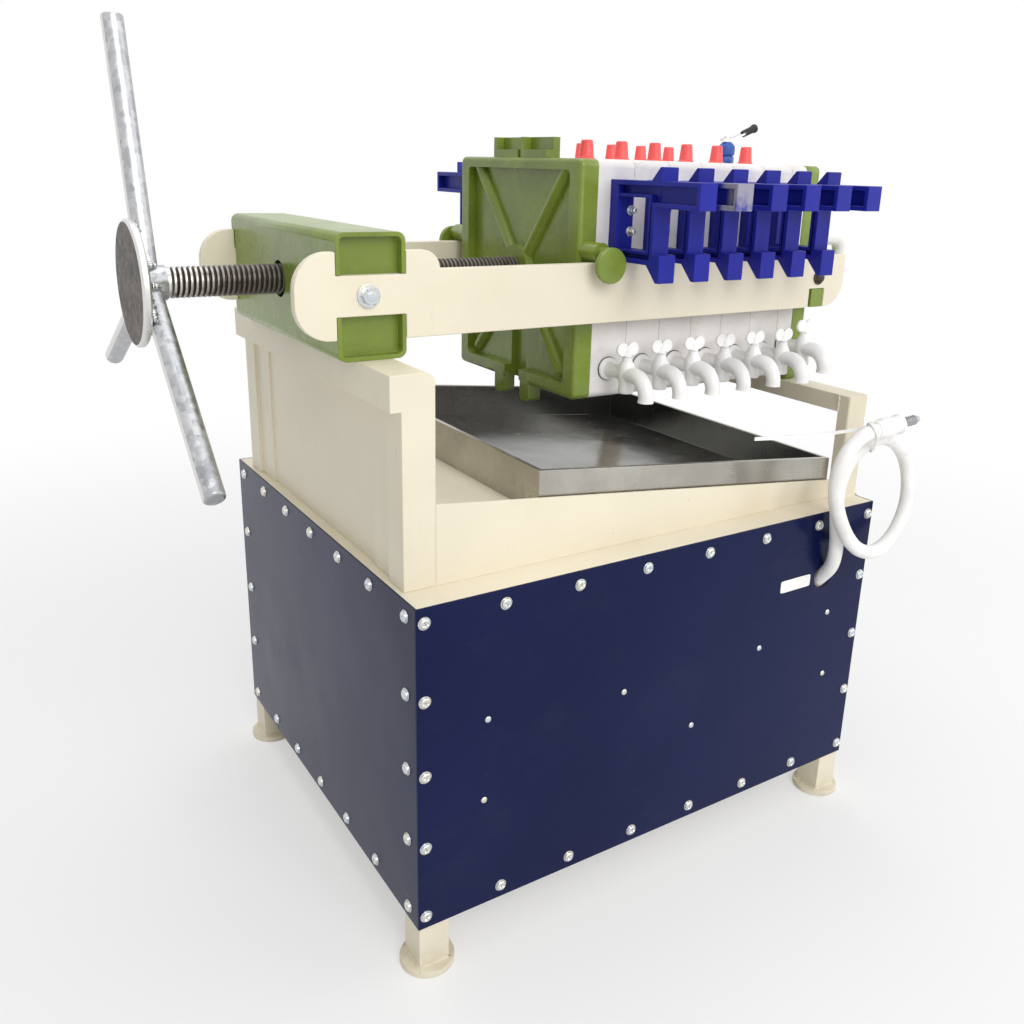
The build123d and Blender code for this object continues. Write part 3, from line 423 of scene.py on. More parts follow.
class Recipe:
    """One material or world: its tree, and a method that adds any node to it."""

    def __init__(self, owner):
        self.owner = owner
        self.owner.use_nodes = True
        self.tree = self.owner.node_tree
        self.tree.nodes.clear()
        self.place = self.node("TexCoord", output="Object")

    def node(self, kind, settings=None, values=None, output=0):
        """Add a node, set it up, then set or link its sockets; returns one of its outputs."""
        made = self.tree.nodes.new("ShaderNode" + kind)
        for key, value in (settings or {}).items():
            setattr(made, key, value)
        for key, value in (values or {}).items():
            if isinstance(value, Wire):
                self.tree.links.new(value.socket, made.inputs[key])
            else:
                made.inputs[key].default_value = value
        return Wire(self, made.outputs[output]) if len(made.outputs) else None

    def stretched(self, x, y, z):
        """Object coordinates with each axis scaled by its own factor."""
        return self.node("Mapping", None, {"Vector": self.place, "Scale": (x, y, z)})

    def noise(self, scale, detail=3.0, roughness=0.5, place=None):
        """Noise with so many waves per metre, from 0 to 1."""
        values = {"Vector": place or self.place, "Scale": scale, "Detail": detail, "Roughness": roughness}
        return self.node("TexNoise", None, values)

    def speckle(self, scale, low, high, detail=2.0):
        """Patches of noise above a level: 0 outside and 1 inside."""
        return self.noise(scale, detail, 0.6).between(low, high)

    def axis(self, name):
        """One of the object coordinates X, Y, Z in metres."""
        return self.node("SeparateXYZ", None, {"Vector": self.place}, name)

    def machine(self, name):
        """X, Y or Z in machine millimetres."""
        return (self.axis(name) - MACHINE_ORIGIN["XYZ".index(name)]) / MM

    def mix(self, share, first, second):
        """A colour between two colours."""
        values = {0: share, 6: with_alpha(first), 7: with_alpha(second)}
        return self.node("Mix", {"data_type": "RGBA"}, values, 2)

    def bump(self, height, depth, below=None):
        """A normal from a height of 0 to 1 that stands for so many millimetres."""
        values = {"Height": height, "Distance": depth * MM}
        if below is not None:
            values["Normal"] = below
        return self.node("Bump", None, values)

    def seen(self):
        """1 on camera, glossy and transmission rays, 0 on all others."""
        camera, glossy, through = (
            self.node("LightPath", output=f"Is {ray} Ray") for ray in ("Camera", "Glossy", "Transmission"))
        return camera.most(glossy).most(through)

    def principled(self, colour, roughness, normal=None, **fixed):
        """The Principled shader: colour, roughness and normal, and fixed numbers for other sockets."""
        values = {"Base Color": with_alpha(colour), "Roughness": roughness}
        if normal is not None:
            values["Normal"] = normal
        for key, value in fixed.items():
            values[key.replace("_", " ").title().replace("Ior", "IOR")] = value
        return self.node("BsdfPrincipled", None, values)

    def surface(self, colour, roughness, normal=None, **fixed):
        """The Principled shader as the material's surface; returns the material."""
        self.node("OutputMaterial", None, {"Surface": self.principled(colour, roughness, normal, **fixed)})
        return self.owner


def colour_setting(label, use, default):
    """A linear colour in the panel."""
    return bpy.props.FloatVectorProperty(name=label, description=use, subtype="COLOR", default=default)


class FinishSettings(bpy.types.PropertyGroup):
    """Base colours of the paints and plastics, linear."""
    cream: colour_setting("Cream enamel", "Stand and rails", (0.85, 0.78, 0.62))
    navy: colour_setting("Navy enamel", "Cabinet covers", (0.002, 0.006, 0.050))
    green: colour_setting("Green enamel", "Castings and crosshead", (0.205, 0.285, 0.034))
    indigo: colour_setting("Indigo plastic", "Plate handles", (0.014, 0.019, 0.30))
    coral: colour_setting("Coral plastic", "Caps on the plates", (0.98, 0.115, 0.11))
    plate: colour_setting("Plate plastic", "Filter plates", (0.84, 0.81, 0.79))
    white: colour_setting("White plastic", "Taps, hose and label", (0.94, 0.93, 0.91))


def finishes():
    """The colours set in the scene."""
    return bpy.context.scene.press_finishes


def grime(recipe):
    """Dirt that gathers at the feet: 1 on the floor and 0 above the grime's height, broken up by noise."""
    level = (1.0 - recipe.machine("Z") / GRIME_HEIGHT).clamped()
    return level * recipe.noise(34, 5, 0.65).between(0.40, 0.75)


def cream_enamel(recipe):
    """Brushed-on cream enamel: faint brush marks, slow colour drift, rust-brown stains and small chips."""
    base = tuple(finishes().cream)
    drift = recipe.noise(4.0, 3)
    colour = recipe.mix(drift.between(0.35, 0.7), tuple(c * 0.94 for c in base), base)
    yellow = recipe.noise(9.0, 4).between(0.52, 0.8) * 0.35
    colour = recipe.mix(yellow, colour, (0.70, 0.60, 0.40))
    dust = recipe.noise(60.0, 6, 0.7, recipe.stretched(1, 1, 0.25)).between(0.62, 0.80) * 0.30
    colour = recipe.mix(dust, colour, (0.36, 0.31, 0.23))
    colour = recipe.mix(grime(recipe) * 0.30, colour, (0.30, 0.25, 0.18))
    chips = recipe.speckle(150.0, 0.735, 0.76, 4)
    colour = recipe.mix(chips * 0.8, colour, (0.16, 0.12, 0.09))
    brush = recipe.noise(260.0, 3, 0.6, recipe.stretched(0.12, 1, 1))
    skin = recipe.noise(38.0, 2)
    rough = 0.33 + 0.20 * recipe.noise(22.0, 4) + 0.25 * dust
    normal = recipe.bump(brush - chips, 0.10, recipe.bump(skin, 0.55))
    return recipe.surface(colour, rough, normal, ior=1.5)


def navy_enamel(recipe):
    """Glossy navy enamel on thin sheet: orange peel, slow waves, dull hand marks and fine dust."""
    base = tuple(finishes().navy)
    drift = recipe.noise(3.0, 2).between(0.35, 0.7)
    colour = recipe.mix(drift, base, (base[0] + 0.002, base[1] + 0.003, base[2] + 0.012))
    haze = recipe.noise(11.0, 5, 0.6).between(0.50, 0.80) * 0.35
    colour = recipe.mix(haze, colour, (0.016, 0.022, 0.060))
    dust = recipe.speckle(420.0, 0.70, 0.78, 3) * 0.25
    colour = recipe.mix(dust, colour, (0.20, 0.20, 0.22))
    scratch = recipe.noise(90.0, 2, 0.5, recipe.stretched(0.25, 1, 6)).between(0.66, 0.70) * 0.12
    rough = 0.13 + 0.20 * haze + 0.16 * recipe.noise(16.0, 3) + 0.3 * dust + scratch
    peel = recipe.noise(330.0, 2)
    wave = recipe.noise(5.5, 1)
    normal = recipe.bump(peel, 0.035, recipe.bump(wave, 2.2))
    return recipe.surface(colour, rough, normal, ior=1.25)


def green_enamel(recipe):
    """Glossy green enamel over a sand casting: cast grain, drifting tone, dull patches and chips."""
    base = tuple(finishes().green)
    drift = recipe.noise(14.0, 4).between(0.3, 0.75)
    colour = recipe.mix(drift, tuple(c * 0.80 for c in base), tuple(c * 1.08 for c in base))
    dirt = recipe.noise(45.0, 6, 0.7).between(0.58, 0.80) * 0.45
    colour = recipe.mix(dirt, colour, (0.05, 0.06, 0.015))
    chips = recipe.speckle(190.0, 0.745, 0.765, 4)
    colour = recipe.mix(chips * 0.7, colour, (0.20, 0.18, 0.14))
    grain = recipe.noise(300.0, 4, 0.6)
    lumps = recipe.noise(62.0, 2)
    rough = 0.20 + 0.16 * recipe.noise(30.0, 3) + 0.35 * dirt
    normal = recipe.bump(grain - chips, 0.14, recipe.bump(lumps, 0.7))
    return recipe.surface(colour, rough, normal, coat_weight=0.10, coat_roughness=0.12)


def brushed_stainless(recipe):
    """Rolled stainless sheet: fine lines along X, dull wiped patches and dried drips; painted shade and dark
    reflection darken the inside of the tray, up to its hem."""
    lines = recipe.noise(900.0, 4, 0.65, recipe.stretched(0.03, 1, 1))
    wiped = recipe.noise(7.0, 5, 0.6).between(0.35, 0.75)
    colour = recipe.mix(wiped, (0.40, 0.385, 0.345), (0.58, 0.56, 0.50))
    drips = recipe.noise(38.0, 5, 0.7).between(0.60, 0.74) * 0.5
    colour = recipe.mix(drips, colour, (0.26, 0.24, 0.19))
    inward, depth, up = (recipe.machine(name) for name in "XYZ")
    slope = (TRAY_HIGH[2] - TRAY_LOW[2] - TRAY_WALL) / (TRAY_HIGH[0] - TRAY_LOW[0])
    level = up + (inward - TRAY_LOW[0]) * slope  # the height if the tray lay level
    # Painted shade and dark reflection: the inside of the tray, up to its hem, is darkened in its base
    # colour.
    inside_shade = 0.78 + 0.22 * recipe.noise(13.0, 4)
    inside_shade = inside_shade * (1.0 - level.between(*(TRAY_HIGH[2] - drop for drop in SHADE_DROP)))
    start, full = SHADE_INSET
    for place, low, high in ((inward, TRAY_LOW[0], TRAY_HIGH[0]), (depth, TRAY_LOW[1], TRAY_HIGH[1])):
        inside_shade = inside_shade * place.between(low + start, low + full)
        inside_shade = inside_shade * (1.0 - place.between(high - full, high - start))
    colour = recipe.mix(inside_shade, colour, (0.19, 0.19, 0.18))
    rough = 0.16 + 0.16 * lines + 0.14 * wiped + 0.25 * drips - 0.10 * inside_shade
    dents = recipe.noise(9.0, 2)
    normal = recipe.bump(lines, 0.012, recipe.bump(dents, 1.2))
    return recipe.surface(colour, rough, normal, metallic=1.0)


def galvanised(recipe):
    """Bright zinc of the hose tail and the rods' welds, with a soft cast skin and a little white bloom."""
    bloom = recipe.noise(90.0, 5, 0.65).between(0.50, 0.78)
    colour = recipe.mix(bloom, (0.50, 0.51, 0.53), (0.68, 0.68, 0.66))
    rough = 0.26 + 0.25 * bloom
    normal = recipe.bump(recipe.noise(400.0, 3), 0.05)
    return recipe.surface(colour, rough, normal, metallic=0.9)


def from_screw_axis(recipe):
    """Distance from the screw's axis in millimetres."""
    return ((recipe.machine("Y") - AXIS_Y) ** 2.0 + (recipe.machine("Z") - AXIS_Z) ** 2.0) ** 0.5


def greased_steel(recipe):
    """Turned steel: bright at the collar, brown-black grease in the thread's roots, and crests that are
    rubbed bright near the collar and greased further in."""
    inward = recipe.machine("X")
    collar = 1.0 - inward.between(COLLAR_END - 1.0, COLLAR_END + 4.0)
    crest = from_screw_axis(recipe).between(SCREW_RADIUS - 0.9, SCREW_RADIUS - 0.2)
    worn = 1.0 - 0.80 * inward.between(*RUBBED_THREAD)
    rubbed = (crest * recipe.noise(70.0, 4, 0.6).between(0.22, 0.50) * worn).clamped()
    colour = recipe.mix(rubbed, (0.050, 0.037, 0.028), (0.62, 0.60, 0.57))
    smear = recipe.noise(60.0, 5, 0.65).between(0.52, 0.78) * 0.30
    colour = recipe.mix(collar * (1.0 - smear), colour, (0.66, 0.66, 0.64))
    rough = 0.40 - 0.12 * rubbed - 0.10 * collar + 0.16 * recipe.noise(120.0, 3)
    normal = recipe.bump(recipe.noise(320.0, 3), 0.08)
    return recipe.surface(colour, rough, normal, metallic=0.85)


def wheel_steel(recipe):
    """Galvanised rods and hub with angular spangles and white bloom; the disc at their left has its face
    painted dark brown as painted shade and reflection, and is ground bright at its rim."""
    cells = {"Vector": recipe.place, "Scale": 150.0, "Randomness": 1.0}
    spangle = recipe.node("TexVoronoi", {"feature": "F1"}, cells, "Color")
    grey = recipe.node("RGBToBW", None, {"Color": spangle})
    zinc = recipe.mix(grey, (0.33, 0.34, 0.36), (0.60, 0.61, 0.62))
    bloom = recipe.noise(55.0, 5, 0.65).between(0.55, 0.78) * 0.5
    zinc = recipe.mix(bloom, zinc, (0.74, 0.74, 0.73))
    # Painted shade and reflection: the disc's face is painted dark brown in its base colour, drifting by
    # noise.
    scale = recipe.noise(38.0, 5, 0.65)
    plate = recipe.mix(scale.between(0.3, 0.7), (0.060, 0.048, 0.040), (0.125, 0.102, 0.086))
    rim = from_screw_axis(recipe).between(DISC_RIM - 0.8, DISC_RIM)
    plate = recipe.mix(rim, plate, (0.74, 0.73, 0.71))
    on_disc = 1.0 - recipe.machine("X").between(DISC_FACE + 0.1, DISC_FACE + 0.3)
    colour = recipe.mix(on_disc, zinc, plate)
    rough = 0.28 + 0.18 * grey + 0.20 * bloom + 0.14 * on_disc * (1.0 - rim)
    normal = recipe.bump(recipe.noise(240.0, 3), 0.10, recipe.bump(recipe.noise(40.0, 2), 0.40))
    return recipe.surface(colour, rough, normal, metallic=0.85)


def oxide_steel(recipe):
    """Black oxide of a plain bolt, a little brown with age."""
    age = recipe.noise(140.0, 4, 0.6)
    colour = recipe.mix(age.between(0.45, 0.70), (0.045, 0.045, 0.048), (0.13, 0.085, 0.055))
    return recipe.surface(colour, 0.36 + 0.20 * age, recipe.bump(recipe.noise(500.0, 2), 0.04), metallic=0.8)


def bright_zinc(recipe):
    """Bright zinc plating of small fasteners, with faint blue and yellow casts."""
    cast = recipe.noise(60.0, 3)
    colour = recipe.mix(cast.between(0.35, 0.65), (0.62, 0.66, 0.70), (0.72, 0.70, 0.62))
    rough = 0.20 + 0.18 * recipe.noise(400.0, 3)
    return recipe.surface(colour, rough, recipe.bump(recipe.noise(900.0, 2), 0.02), metallic=1.0)


def moulded(recipe, base, dirt_colour, gloss, dirt_share, ior=1.45, worn=None):
    """Injection-moulded plastic: slow drift of colour, handling dirt, fine skin grain and soft waviness."""
    if isinstance(base, str):
        base = getattr(finishes(), base)
    drift = recipe.noise(18.0, 3).between(0.3, 0.7)
    colour = recipe.mix(drift, tuple(c * 0.90 for c in base), tuple(min(1.0, c * 1.04) for c in base))
    dirt = recipe.noise(48.0, 6, 0.7).between(0.56, 0.80) * dirt_share
    colour = recipe.mix(dirt, colour, dirt_colour)
    rough = gloss + 0.12 * recipe.noise(90.0, 3) + 0.3 * dirt
    if worn:
        whitened = worn(recipe)
        colour = recipe.mix(whitened, colour, (0.36, 0.35, 0.40))
        rough = rough + 0.25 * whitened
    normal = recipe.bump(recipe.noise(600.0, 2), 0.03, recipe.bump(recipe.noise(26.0, 2), 0.5))
    return recipe.surface(colour, rough, normal, ior=ior)


def whitened_end(recipe):
    """1 at the outer end of a front handle's arm, where the plastic is scuffed pale, broken up by noise."""
    reach = 1.0 - recipe.machine("Y").between(*(PLATE_FRONT - out for out in SCUFF_REACH))
    return (reach * recipe.noise(42.0, 5, 0.65).between(0.20, 0.52) * 0.88).clamped()


PLASTICS = {  # colour or its setting, dirt's colour, gloss, dirt's share, index of refraction
    "indigo": ("indigo", (0.08, 0.09, 0.22), 0.28, 0.12, 1.3),
    "scuffed": ("indigo", (0.08, 0.09, 0.22), 0.28, 0.12, 1.3, whitened_end),
    "coral": ("coral", (0.35, 0.05, 0.04), 0.30, 0.30),
    "plate": ("plate", (0.42, 0.38, 0.31), 0.42, 0.35),
    "white": ("white", (0.60, 0.56, 0.48), 0.26, 0.25),
    "hose": ("white", (0.50, 0.47, 0.41), 0.34, 0.35),
    "blue": ((0.03, 0.10, 0.42), (0.10, 0.10, 0.12), 0.35, 0.25),
    "rubber": ((0.018, 0.018, 0.020), (0.10, 0.09, 0.08), 0.55, 0.30),
}
FINISH_MAKERS = {
    "cream": cream_enamel, "navy": navy_enamel, "green": green_enamel, "stainless": brushed_stainless,
    "zinc": galvanised, "screw": greased_steel, "wheel": wheel_steel, "bright": bright_zinc,
    "oxide": oxide_steel,
}


def finish_for(name):
    """The finish's material, made when it is first asked for."""
    title = "finish_" + name
    known = bpy.data.materials.get(title)
    if known:
        return known
    recipe = Recipe(bpy.data.materials.new(title))
    if name in PLASTICS:
        return moulded(recipe, *PLASTICS[name])
    return FINISH_MAKERS[name](recipe)


# Frame nodes

NODE_FINISH = {
    "base_frame": ("cream", 1.2), "drip_deck": ("cream", 0.6), "end_wall": ("cream", 1.0),
    "portal": ("cream", 1.0),
    "cover_front": ("navy", 0.4), "cover_back": ("navy", 0.4), "cover_ends": ("navy", 0.4),
    "drip_tray": ("stainless", 0.5), "crosshead": ("green", 1.0), "rails": ("cream", 1.2),
    "fixed_head": ("green", 2.0), "moving_head": ("green", 2.0), "end_plate": ("plate", 1.2),
    "inlet": ("white", 0.8), "hand_rods": ("wheel", 0.8),
}


def soften(node, width):
    """Join the node's loose triangles, drop the lines inside flat faces and round its edges."""
    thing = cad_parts[node]
    weld = thing.modifiers.new("weld", "WELD")
    weld.merge_threshold = 0.00001
    flat = thing.modifiers.new("flat", "DECIMATE")
    flat.decimate_type = "DISSOLVE"
    flat.angle_limit = math.radians(1.0)
    bevel(thing, width)


def bevel(thing, width):
    """Round an object's sharp edges."""
    edge = thing.modifiers.new("edge", "BEVEL")
    edge.width = width * MM
    edge.segments = 2
    edge.limit_method = "ANGLE"
    edge.angle_limit = math.radians(40)
    edge.harden_normals = True


def paint(node, finish):
    """Put a finish in every material slot of a frame node."""
    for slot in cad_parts[node].material_slots:
        slot.material = finish_for(finish)


class PRESS_OT_frame_finishes(bpy.types.Operator):
    """Paint the frame's own nodes and round their edges"""
    bl_idname = "press.frame_finishes"
    bl_label = "Frame finishes"

    def execute(self, context):
        jobs = dict(NODE_FINISH)
        for index in range(1, PLATE_COUNT + 1):
            jobs[f"plate_{index}"] = ("plate", 1.2)
        for node, (finish, width) in jobs.items():
            paint(node, finish)
            soften(node, width)
        return {"FINISHED"}


# Closing gear

DROP_LENGTH = 5.2  # of a bead's overlapping drops
CORNER_RISE = 16.0


def weld_bead(path, radius, seed):
    """A bead along a path: its radius follows the size of a sine wave, so that it looks like overlapping
    drops, wanders by a slower wave and falls off at both ends as a root."""
    path = np.asarray(path, float)
    run = np.concatenate([[0], np.cumsum(np.linalg.norm(np.diff(path, axis=0), axis=1))])
    drops = np.abs(np.sin(run * math.pi / DROP_LENGTH + seed))
    wander = 0.16 * np.sin(run * 0.71 + 2.3 * seed)
    ends = np.clip(np.minimum(run, run[-1] - run) / radius, 0.05, 1) ** 0.5
    return along(path, circle(radius, 14), (1, 0.13, 0.07), (0.72 + 0.28 * drops + wander) * ends)


class PRESS_OT_closing_screw(bpy.types.Operator):
    """Make the threaded screw with its smooth collar and the weld beads of its rods"""
    bl_idname = "press.closing_screw"
    bl_label = "Closing screw"

    def execute(self, context):
        piece("threaded_screw", self.screw(), "screw", "screw", ["screw"], 60)
        piece("rod_welds", self.welds(), "screw", "zinc", crease=70)
        return {"FINISHED"}

    def welds(self):
        """Beads round the hub, along both sides of each rod's foot on the disc and up the hub's corners."""
        turn = np.linspace(0, 2 * math.pi, 120)
        hub = np.stack([np.full(len(turn), DISC_FACE + 1.5), AXIS_Y + (HUB_RADIUS + 1) * np.sin(turn),
                        AXIS_Z + (HUB_RADIUS + 1) * np.cos(turn)], axis=1)
        reach = np.linspace(*ROD_WELD, 60)[:, None]
        rise = np.linspace(0, math.pi / 2, 24)[:, None]
        beads = weld_bead(hub, HUB_BEAD, 0.4)
        for count, angle in enumerate(ROD_ANGLES):
            angle = math.radians(angle)
            out = np.array([0, math.sin(angle), math.cos(angle)])
            side = np.array([0, math.cos(angle), -math.sin(angle)])
            for hand in (-1, 1):
                foot = np.array([DISC_FACE + 3.0, AXIS_Y, AXIS_Z]) + side * hand * (ROD_RADIUS - 1.0)
                beads += weld_bead(foot + out * reach, ROD_BEAD, count + 0.5 * hand)
                corner = (foot + out * (HUB_RADIUS - 2) + side * hand * 3 * np.cos(rise)
                          + np.array([1.0, 0, 0]) * CORNER_RISE * np.sin(rise))
                beads += weld_bead(corner, CORNER_BEAD, count + 1.7 * hand)
        return beads

    def screw(self):
        """Radius over distance x and angle a: the crest radius less the depth times a flat-topped wave of
        x / pitch + a / 2 pi, which starts where the collar ends."""
        start, end = SCREW_LOW[0], SCREW_HIGH[0]
        rings_per_turn = 12
        x = np.linspace(start, end, int((end - start) / THREAD_PITCH * rings_per_turn))[:, None]
        a = around(48)[None]
        phase = (x / THREAD_PITCH + a / (2 * math.pi)) % 1.0
        wave = np.clip(3.2 * np.abs(2 * phase - 1) - 1.45, 0, 1)
        fade = np.clip((x - COLLAR_END) / THREAD_PITCH, 0, 1)
        radius = SCREW_RADIUS - THREAD_DEPTH * wave * fade
        grid = np.stack([x + 0 * a, AXIS_Y + radius * np.cos(a), AXIS_Z + radius * np.sin(a)], axis=-1)
        return shell_of(grid)


# Fasteners

BOLT_INSET_X = 10.0
BOLT_INSET_Z = 17.7
SIDE_BOLT_INSET = 25.7
LABEL_LEFT, LABEL_RIGHT = 563.0, 622.0
LABEL_LOW, LABEL_HIGH = 379.0, 397.0
RIVETS = [
    (91.7, 326.2), (87.8, 217.9), (292.9, 303.1), (532.9, 302.5),
    (414.8, 216.2), (675.8, 223.0), (669.2, 325.7),
]
RAIL_BOLT_X = 10.7
RAIL_END_BOLT = (718.0, 797.0)


def pan_head(radius=6.4, height=3.6, steps=24, rings=9):
    """A domed screw head on a washer: over radius r and angle a the height is a flattened dome, less a
    recess where the point lies near either line of a cross."""
    a = around(steps)[None]
    r = radius * np.sin(np.linspace(math.pi / 2, 0.06, rings))[:, None]
    x, y = r * np.cos(a), r * np.sin(a)
    dome = height * np.sqrt(np.clip(1 - (r / (radius * 1.02)) ** 2, 0, 1)) ** 0.7
    near = np.minimum(np.abs(x), np.abs(y))
    recess = 2.4 * np.clip(1 - near / 1.5, 0, 1) * np.clip((3.9 - r) / 0.8, 0, 1)
    top = np.stack([x, y, 1.3 + dome + 0 * a - recess], axis=-1)
    skirt = np.stack([x[0], y[0], np.zeros(steps)], axis=-1)[None]
    washer = [(radius + 1.4, 0.0), (radius + 1.5, 0.6), (radius + 1.2, 1.2), (radius - 0.4, 1.3)]
    return shell_of(np.concatenate([skirt, top])) + lathe(washer, steps)


def perimeter(columns, rows, x0, x1, z0, z1):
    """Places round a rectangle, evenly spaced along each side."""
    xs = np.linspace(x0, x1, columns)
    zs = np.linspace(z0, z1, rows)
    edge = [(x, z) for x in xs for z in (z0, z1)]
    return edge + [(x, z) for x in (x0, x1) for z in zs[1:-1]]


class PRESS_OT_cover_fasteners(bpy.types.Operator):
    """Make the screws round the four covers, the rivets and the blank label"""
    bl_idname = "press.cover_fasteners"
    bl_label = "Cover fasteners"

    def execute(self, context):
        piece("cover_screws", self.screws(), "stand", "bright")
        piece("blank_label", self.label(), "stand", "white")
        rivet = turned([(0, 0), (4.2, 0), (4.2, 0.5), (3.0, 1.8), (0, 2.2)], 0.8, 20)
        places = [facing(FORWARDS, (x, 0, z)) for x, z in RIVETS]
        piece("cover_rivets", gathered(rivet, places), "stand", "bright")
        return {"FINISHED"}

    def screws(self):
        """Pan heads at the evenly spaced places of each cover, each turned by its own fixed amount."""
        head = pan_head()
        low, high = COVER_BOTTOM + BOLT_INSET_Z, COVER_TOP - BOLT_INSET_Z
        places = []
        for x, z in perimeter(8, 5, BOLT_INSET_X, CABINET_LENGTH - BOLT_INSET_X, low, high):
            places.append(facing(FORWARDS, (x, 0, z), x + z))
            places.append(facing((0, 1, 0), (x, BACK_COVER_Y, z), x - z))
        for y, z in perimeter(7, 5, SIDE_BOLT_INSET, BACK_COVER_Y - SIDE_BOLT_INSET, low, high):
            places.append(facing((-1, 0, 0), (0, y, z), y + z))
            places.append(facing((1, 0, 0), (CABINET_LENGTH, y, z), y - z))
        return gathered(head, places)

    def label(self):
        """A thin blank plate with soft corners on the front cover."""
        middle = ((LABEL_LEFT + LABEL_RIGHT) / 2, -0.5, (LABEL_LOW + LABEL_HIGH) / 2)
        return pillow((LABEL_RIGHT - LABEL_LEFT, 1.0, LABEL_HIGH - LABEL_LOW), 12, 24).at(*middle)


class PRESS_OT_rail_bolts(bpy.types.Operator):
    """Make the hexagon bolts at the rails' left ends and the dark round bolts at their right ends"""
    bl_idname = "press.rail_bolts"
    bl_label = "Rail bolts"

    def execute(self, context):
        washer = disc(13.4, 2.2, 0.7)
        head = hexagon(17.0, 7.0, 1.1).at(0, 0, 2.2)
        stud = disc(5.2, 1.2, 0.5, 24).at(0, 0, 8.9)
        left = (washer + head + stud).moved(facing(FORWARDS, (RAIL_BOLT_X, RAIL_FRONT, AXIS_Z), 0.4))
        piece("rail_bolts", left + mirrored(left), "stand", "bright")
        dome = turned([(0, 0), (10.5, 0), (10.5, 1.8), (7.4, 1.8), (7.0, 5.6), (4.6, 7.0), (0, 7.0)], 0.9)
        right = dome.moved(facing(FORWARDS, (RAIL_END_BOLT[0], RAIL_FRONT, RAIL_END_BOLT[1])))
        piece("rail_end_bolts", right + mirrored(right), "stand", "oxide")
        return {"FINISHED"}


# Taps and caps

TAP_SEAT_HEIGHT = 22.0  # pipe axis to the key's seat
SPOUT_RADIUS = 10.3
SPOUT_BEND = 24.0
SPOUT_START = -18.0
SPOUT_DROP = 5.0  # below the bend
KEY_LEAN = 0.16  # of each lobe, in radians


def tap_shape(pipe_length):
    """White tap about its plug axis: turned plug housing, pipe and boss, and a spout that is a circle carried
    down a quarter bend, narrower after the bend and wider again at its lip."""
    plug = [(0, -25), (9.6, -25), (10.4, -22), (9.4, -12), (11.2, -2), (11.2, 9), (8.4, 15), (6.6, 18),
            (6.6, TAP_SEAT_HEIGHT), (0, TAP_SEAT_HEIGHT)]
    housing = turned(plug, 1.6, 40, 4)
    pipe = [(0, 0), (15.0, 0), (15.0, 3.4), (11.5, 5.0), (9.2, 5.4), (9.2, pipe_length), (0, pipe_length)]
    boss = turned(pipe, 1.2, 40).moved(facing(FORWARDS, (0, pipe_length, 0)))
    bend = np.linspace(0, math.pi / 2, 20)
    level = [(0, y, 0) for y in np.linspace(0, SPOUT_START, 6)]
    arc = [(0, SPOUT_START - SPOUT_BEND * np.sin(a), SPOUT_BEND * (np.cos(a) - 1)) for a in bend[1:]]
    drop = [(0, SPOUT_START - SPOUT_BEND, -SPOUT_BEND - z) for z in np.linspace(1, SPOUT_DROP, 5)]
    path = level + arc + drop
    size = np.interp(np.linspace(0, 1, len(path)), [0, 0.3, 0.85, 0.95, 1.0], [1.0, 1.02, 0.93, 0.98, 1.0])
    return housing + boss + along(path, circle(SPOUT_RADIUS, 36), (1, 0, 0), size)


def key_shape():
    """Butterfly key: a turned stem and two dished round lobes that lean apart."""
    key = turned([(0, 0.4), (6.2, 0.4), (6.2, 3.2), (4.6, 4.4), (4.2, 10), (0, 12)], 0.9, 28)
    dish = [(0, -1.4), (4.8, -1.6), (7.6, -2.5), (9.0, -1.2), (9.0, 1.2), (7.6, 2.5), (4.8, 1.6), (0, 1.4)]
    lobe = turned(dish, 0.9).moved(Matrix.Rotation(math.pi / 2, 4, "X"))
    for side in (-1, 1):
        lean = Matrix.Rotation(side * KEY_LEAN, 4, "Y")
        key += lobe.moved(Matrix.Translation((side * 8.6, 0, 10.5)) @ lean)
    return key


class PRESS_OT_taps(bpy.types.Operator):
    """Make the row of white taps with a thin black ring round each boss, and their keys"""
    bl_idname = "press.taps"
    bl_label = "Taps"

    def execute(self, context):
        for index in range(1, TAP_COUNT + 1):
            low, high = measure(f"tap_key_{index}")
            seat = measure(f"tap_{index}")[1][2]
            x, y = (low[0] + high[0]) / 2, (low[1] + high[1]) / 2
            body = f"plate_{index}" if index <= PLATE_COUNT else "stand"
            height = seat - TAP_SEAT_HEIGHT
            tap = tap_shape(PLATE_FRONT - y).at(x, y, height)
            piece(f"white_tap_{index}", tap, body, "white", [f"tap_{index}"])
            # A thin black ring on the plate round the tap's boss.
            dark_ring = disc(16.0, 0.9, 0.3).moved(facing(FORWARDS, (x, PLATE_FRONT, height)))
            piece(f"tap_dark_ring_{index}", dark_ring, body, "rubber")
            key, stands_for = key_shape().at(x, y, seat), [f"tap_key_{index}"]
            piece(f"butterfly_key_{index}", key, f"key_{index}", "white", stands_for)
        return {"FINISHED"}


class PRESS_OT_caps(bpy.types.Operator):
    """Make the coral caps on top of the filter plates"""
    bl_idname = "press.caps"
    bl_label = "Caps"

    def execute(self, context):
        for index in range(1, PLATE_COUNT + 1):
            low, high = measure(f"caps_{index}")
            radius = (high[0] - low[0]) / 2
            cap = self.cap(high[2] - low[2]).at(low[0] + radius, low[1] + radius, low[2])
            piece(f"plate_caps_{index}", cap + mirrored(cap), f"plate_{index}", "coral",
                  [f"caps_{index}"])
        return {"FINISHED"}

    def cap(self, height):
        """A tapered cap on a thin base flange with a shallow dished top."""
        profile = [(0, 0), (11.0, 0), (11.0, 2.0), (9.5, 2.6), (7.7, height - 1.6), (6.2, height),
                   (4.4, height - 0.8), (0, height - 1.2)]
        return turned(profile, 0.8)


# Side handles

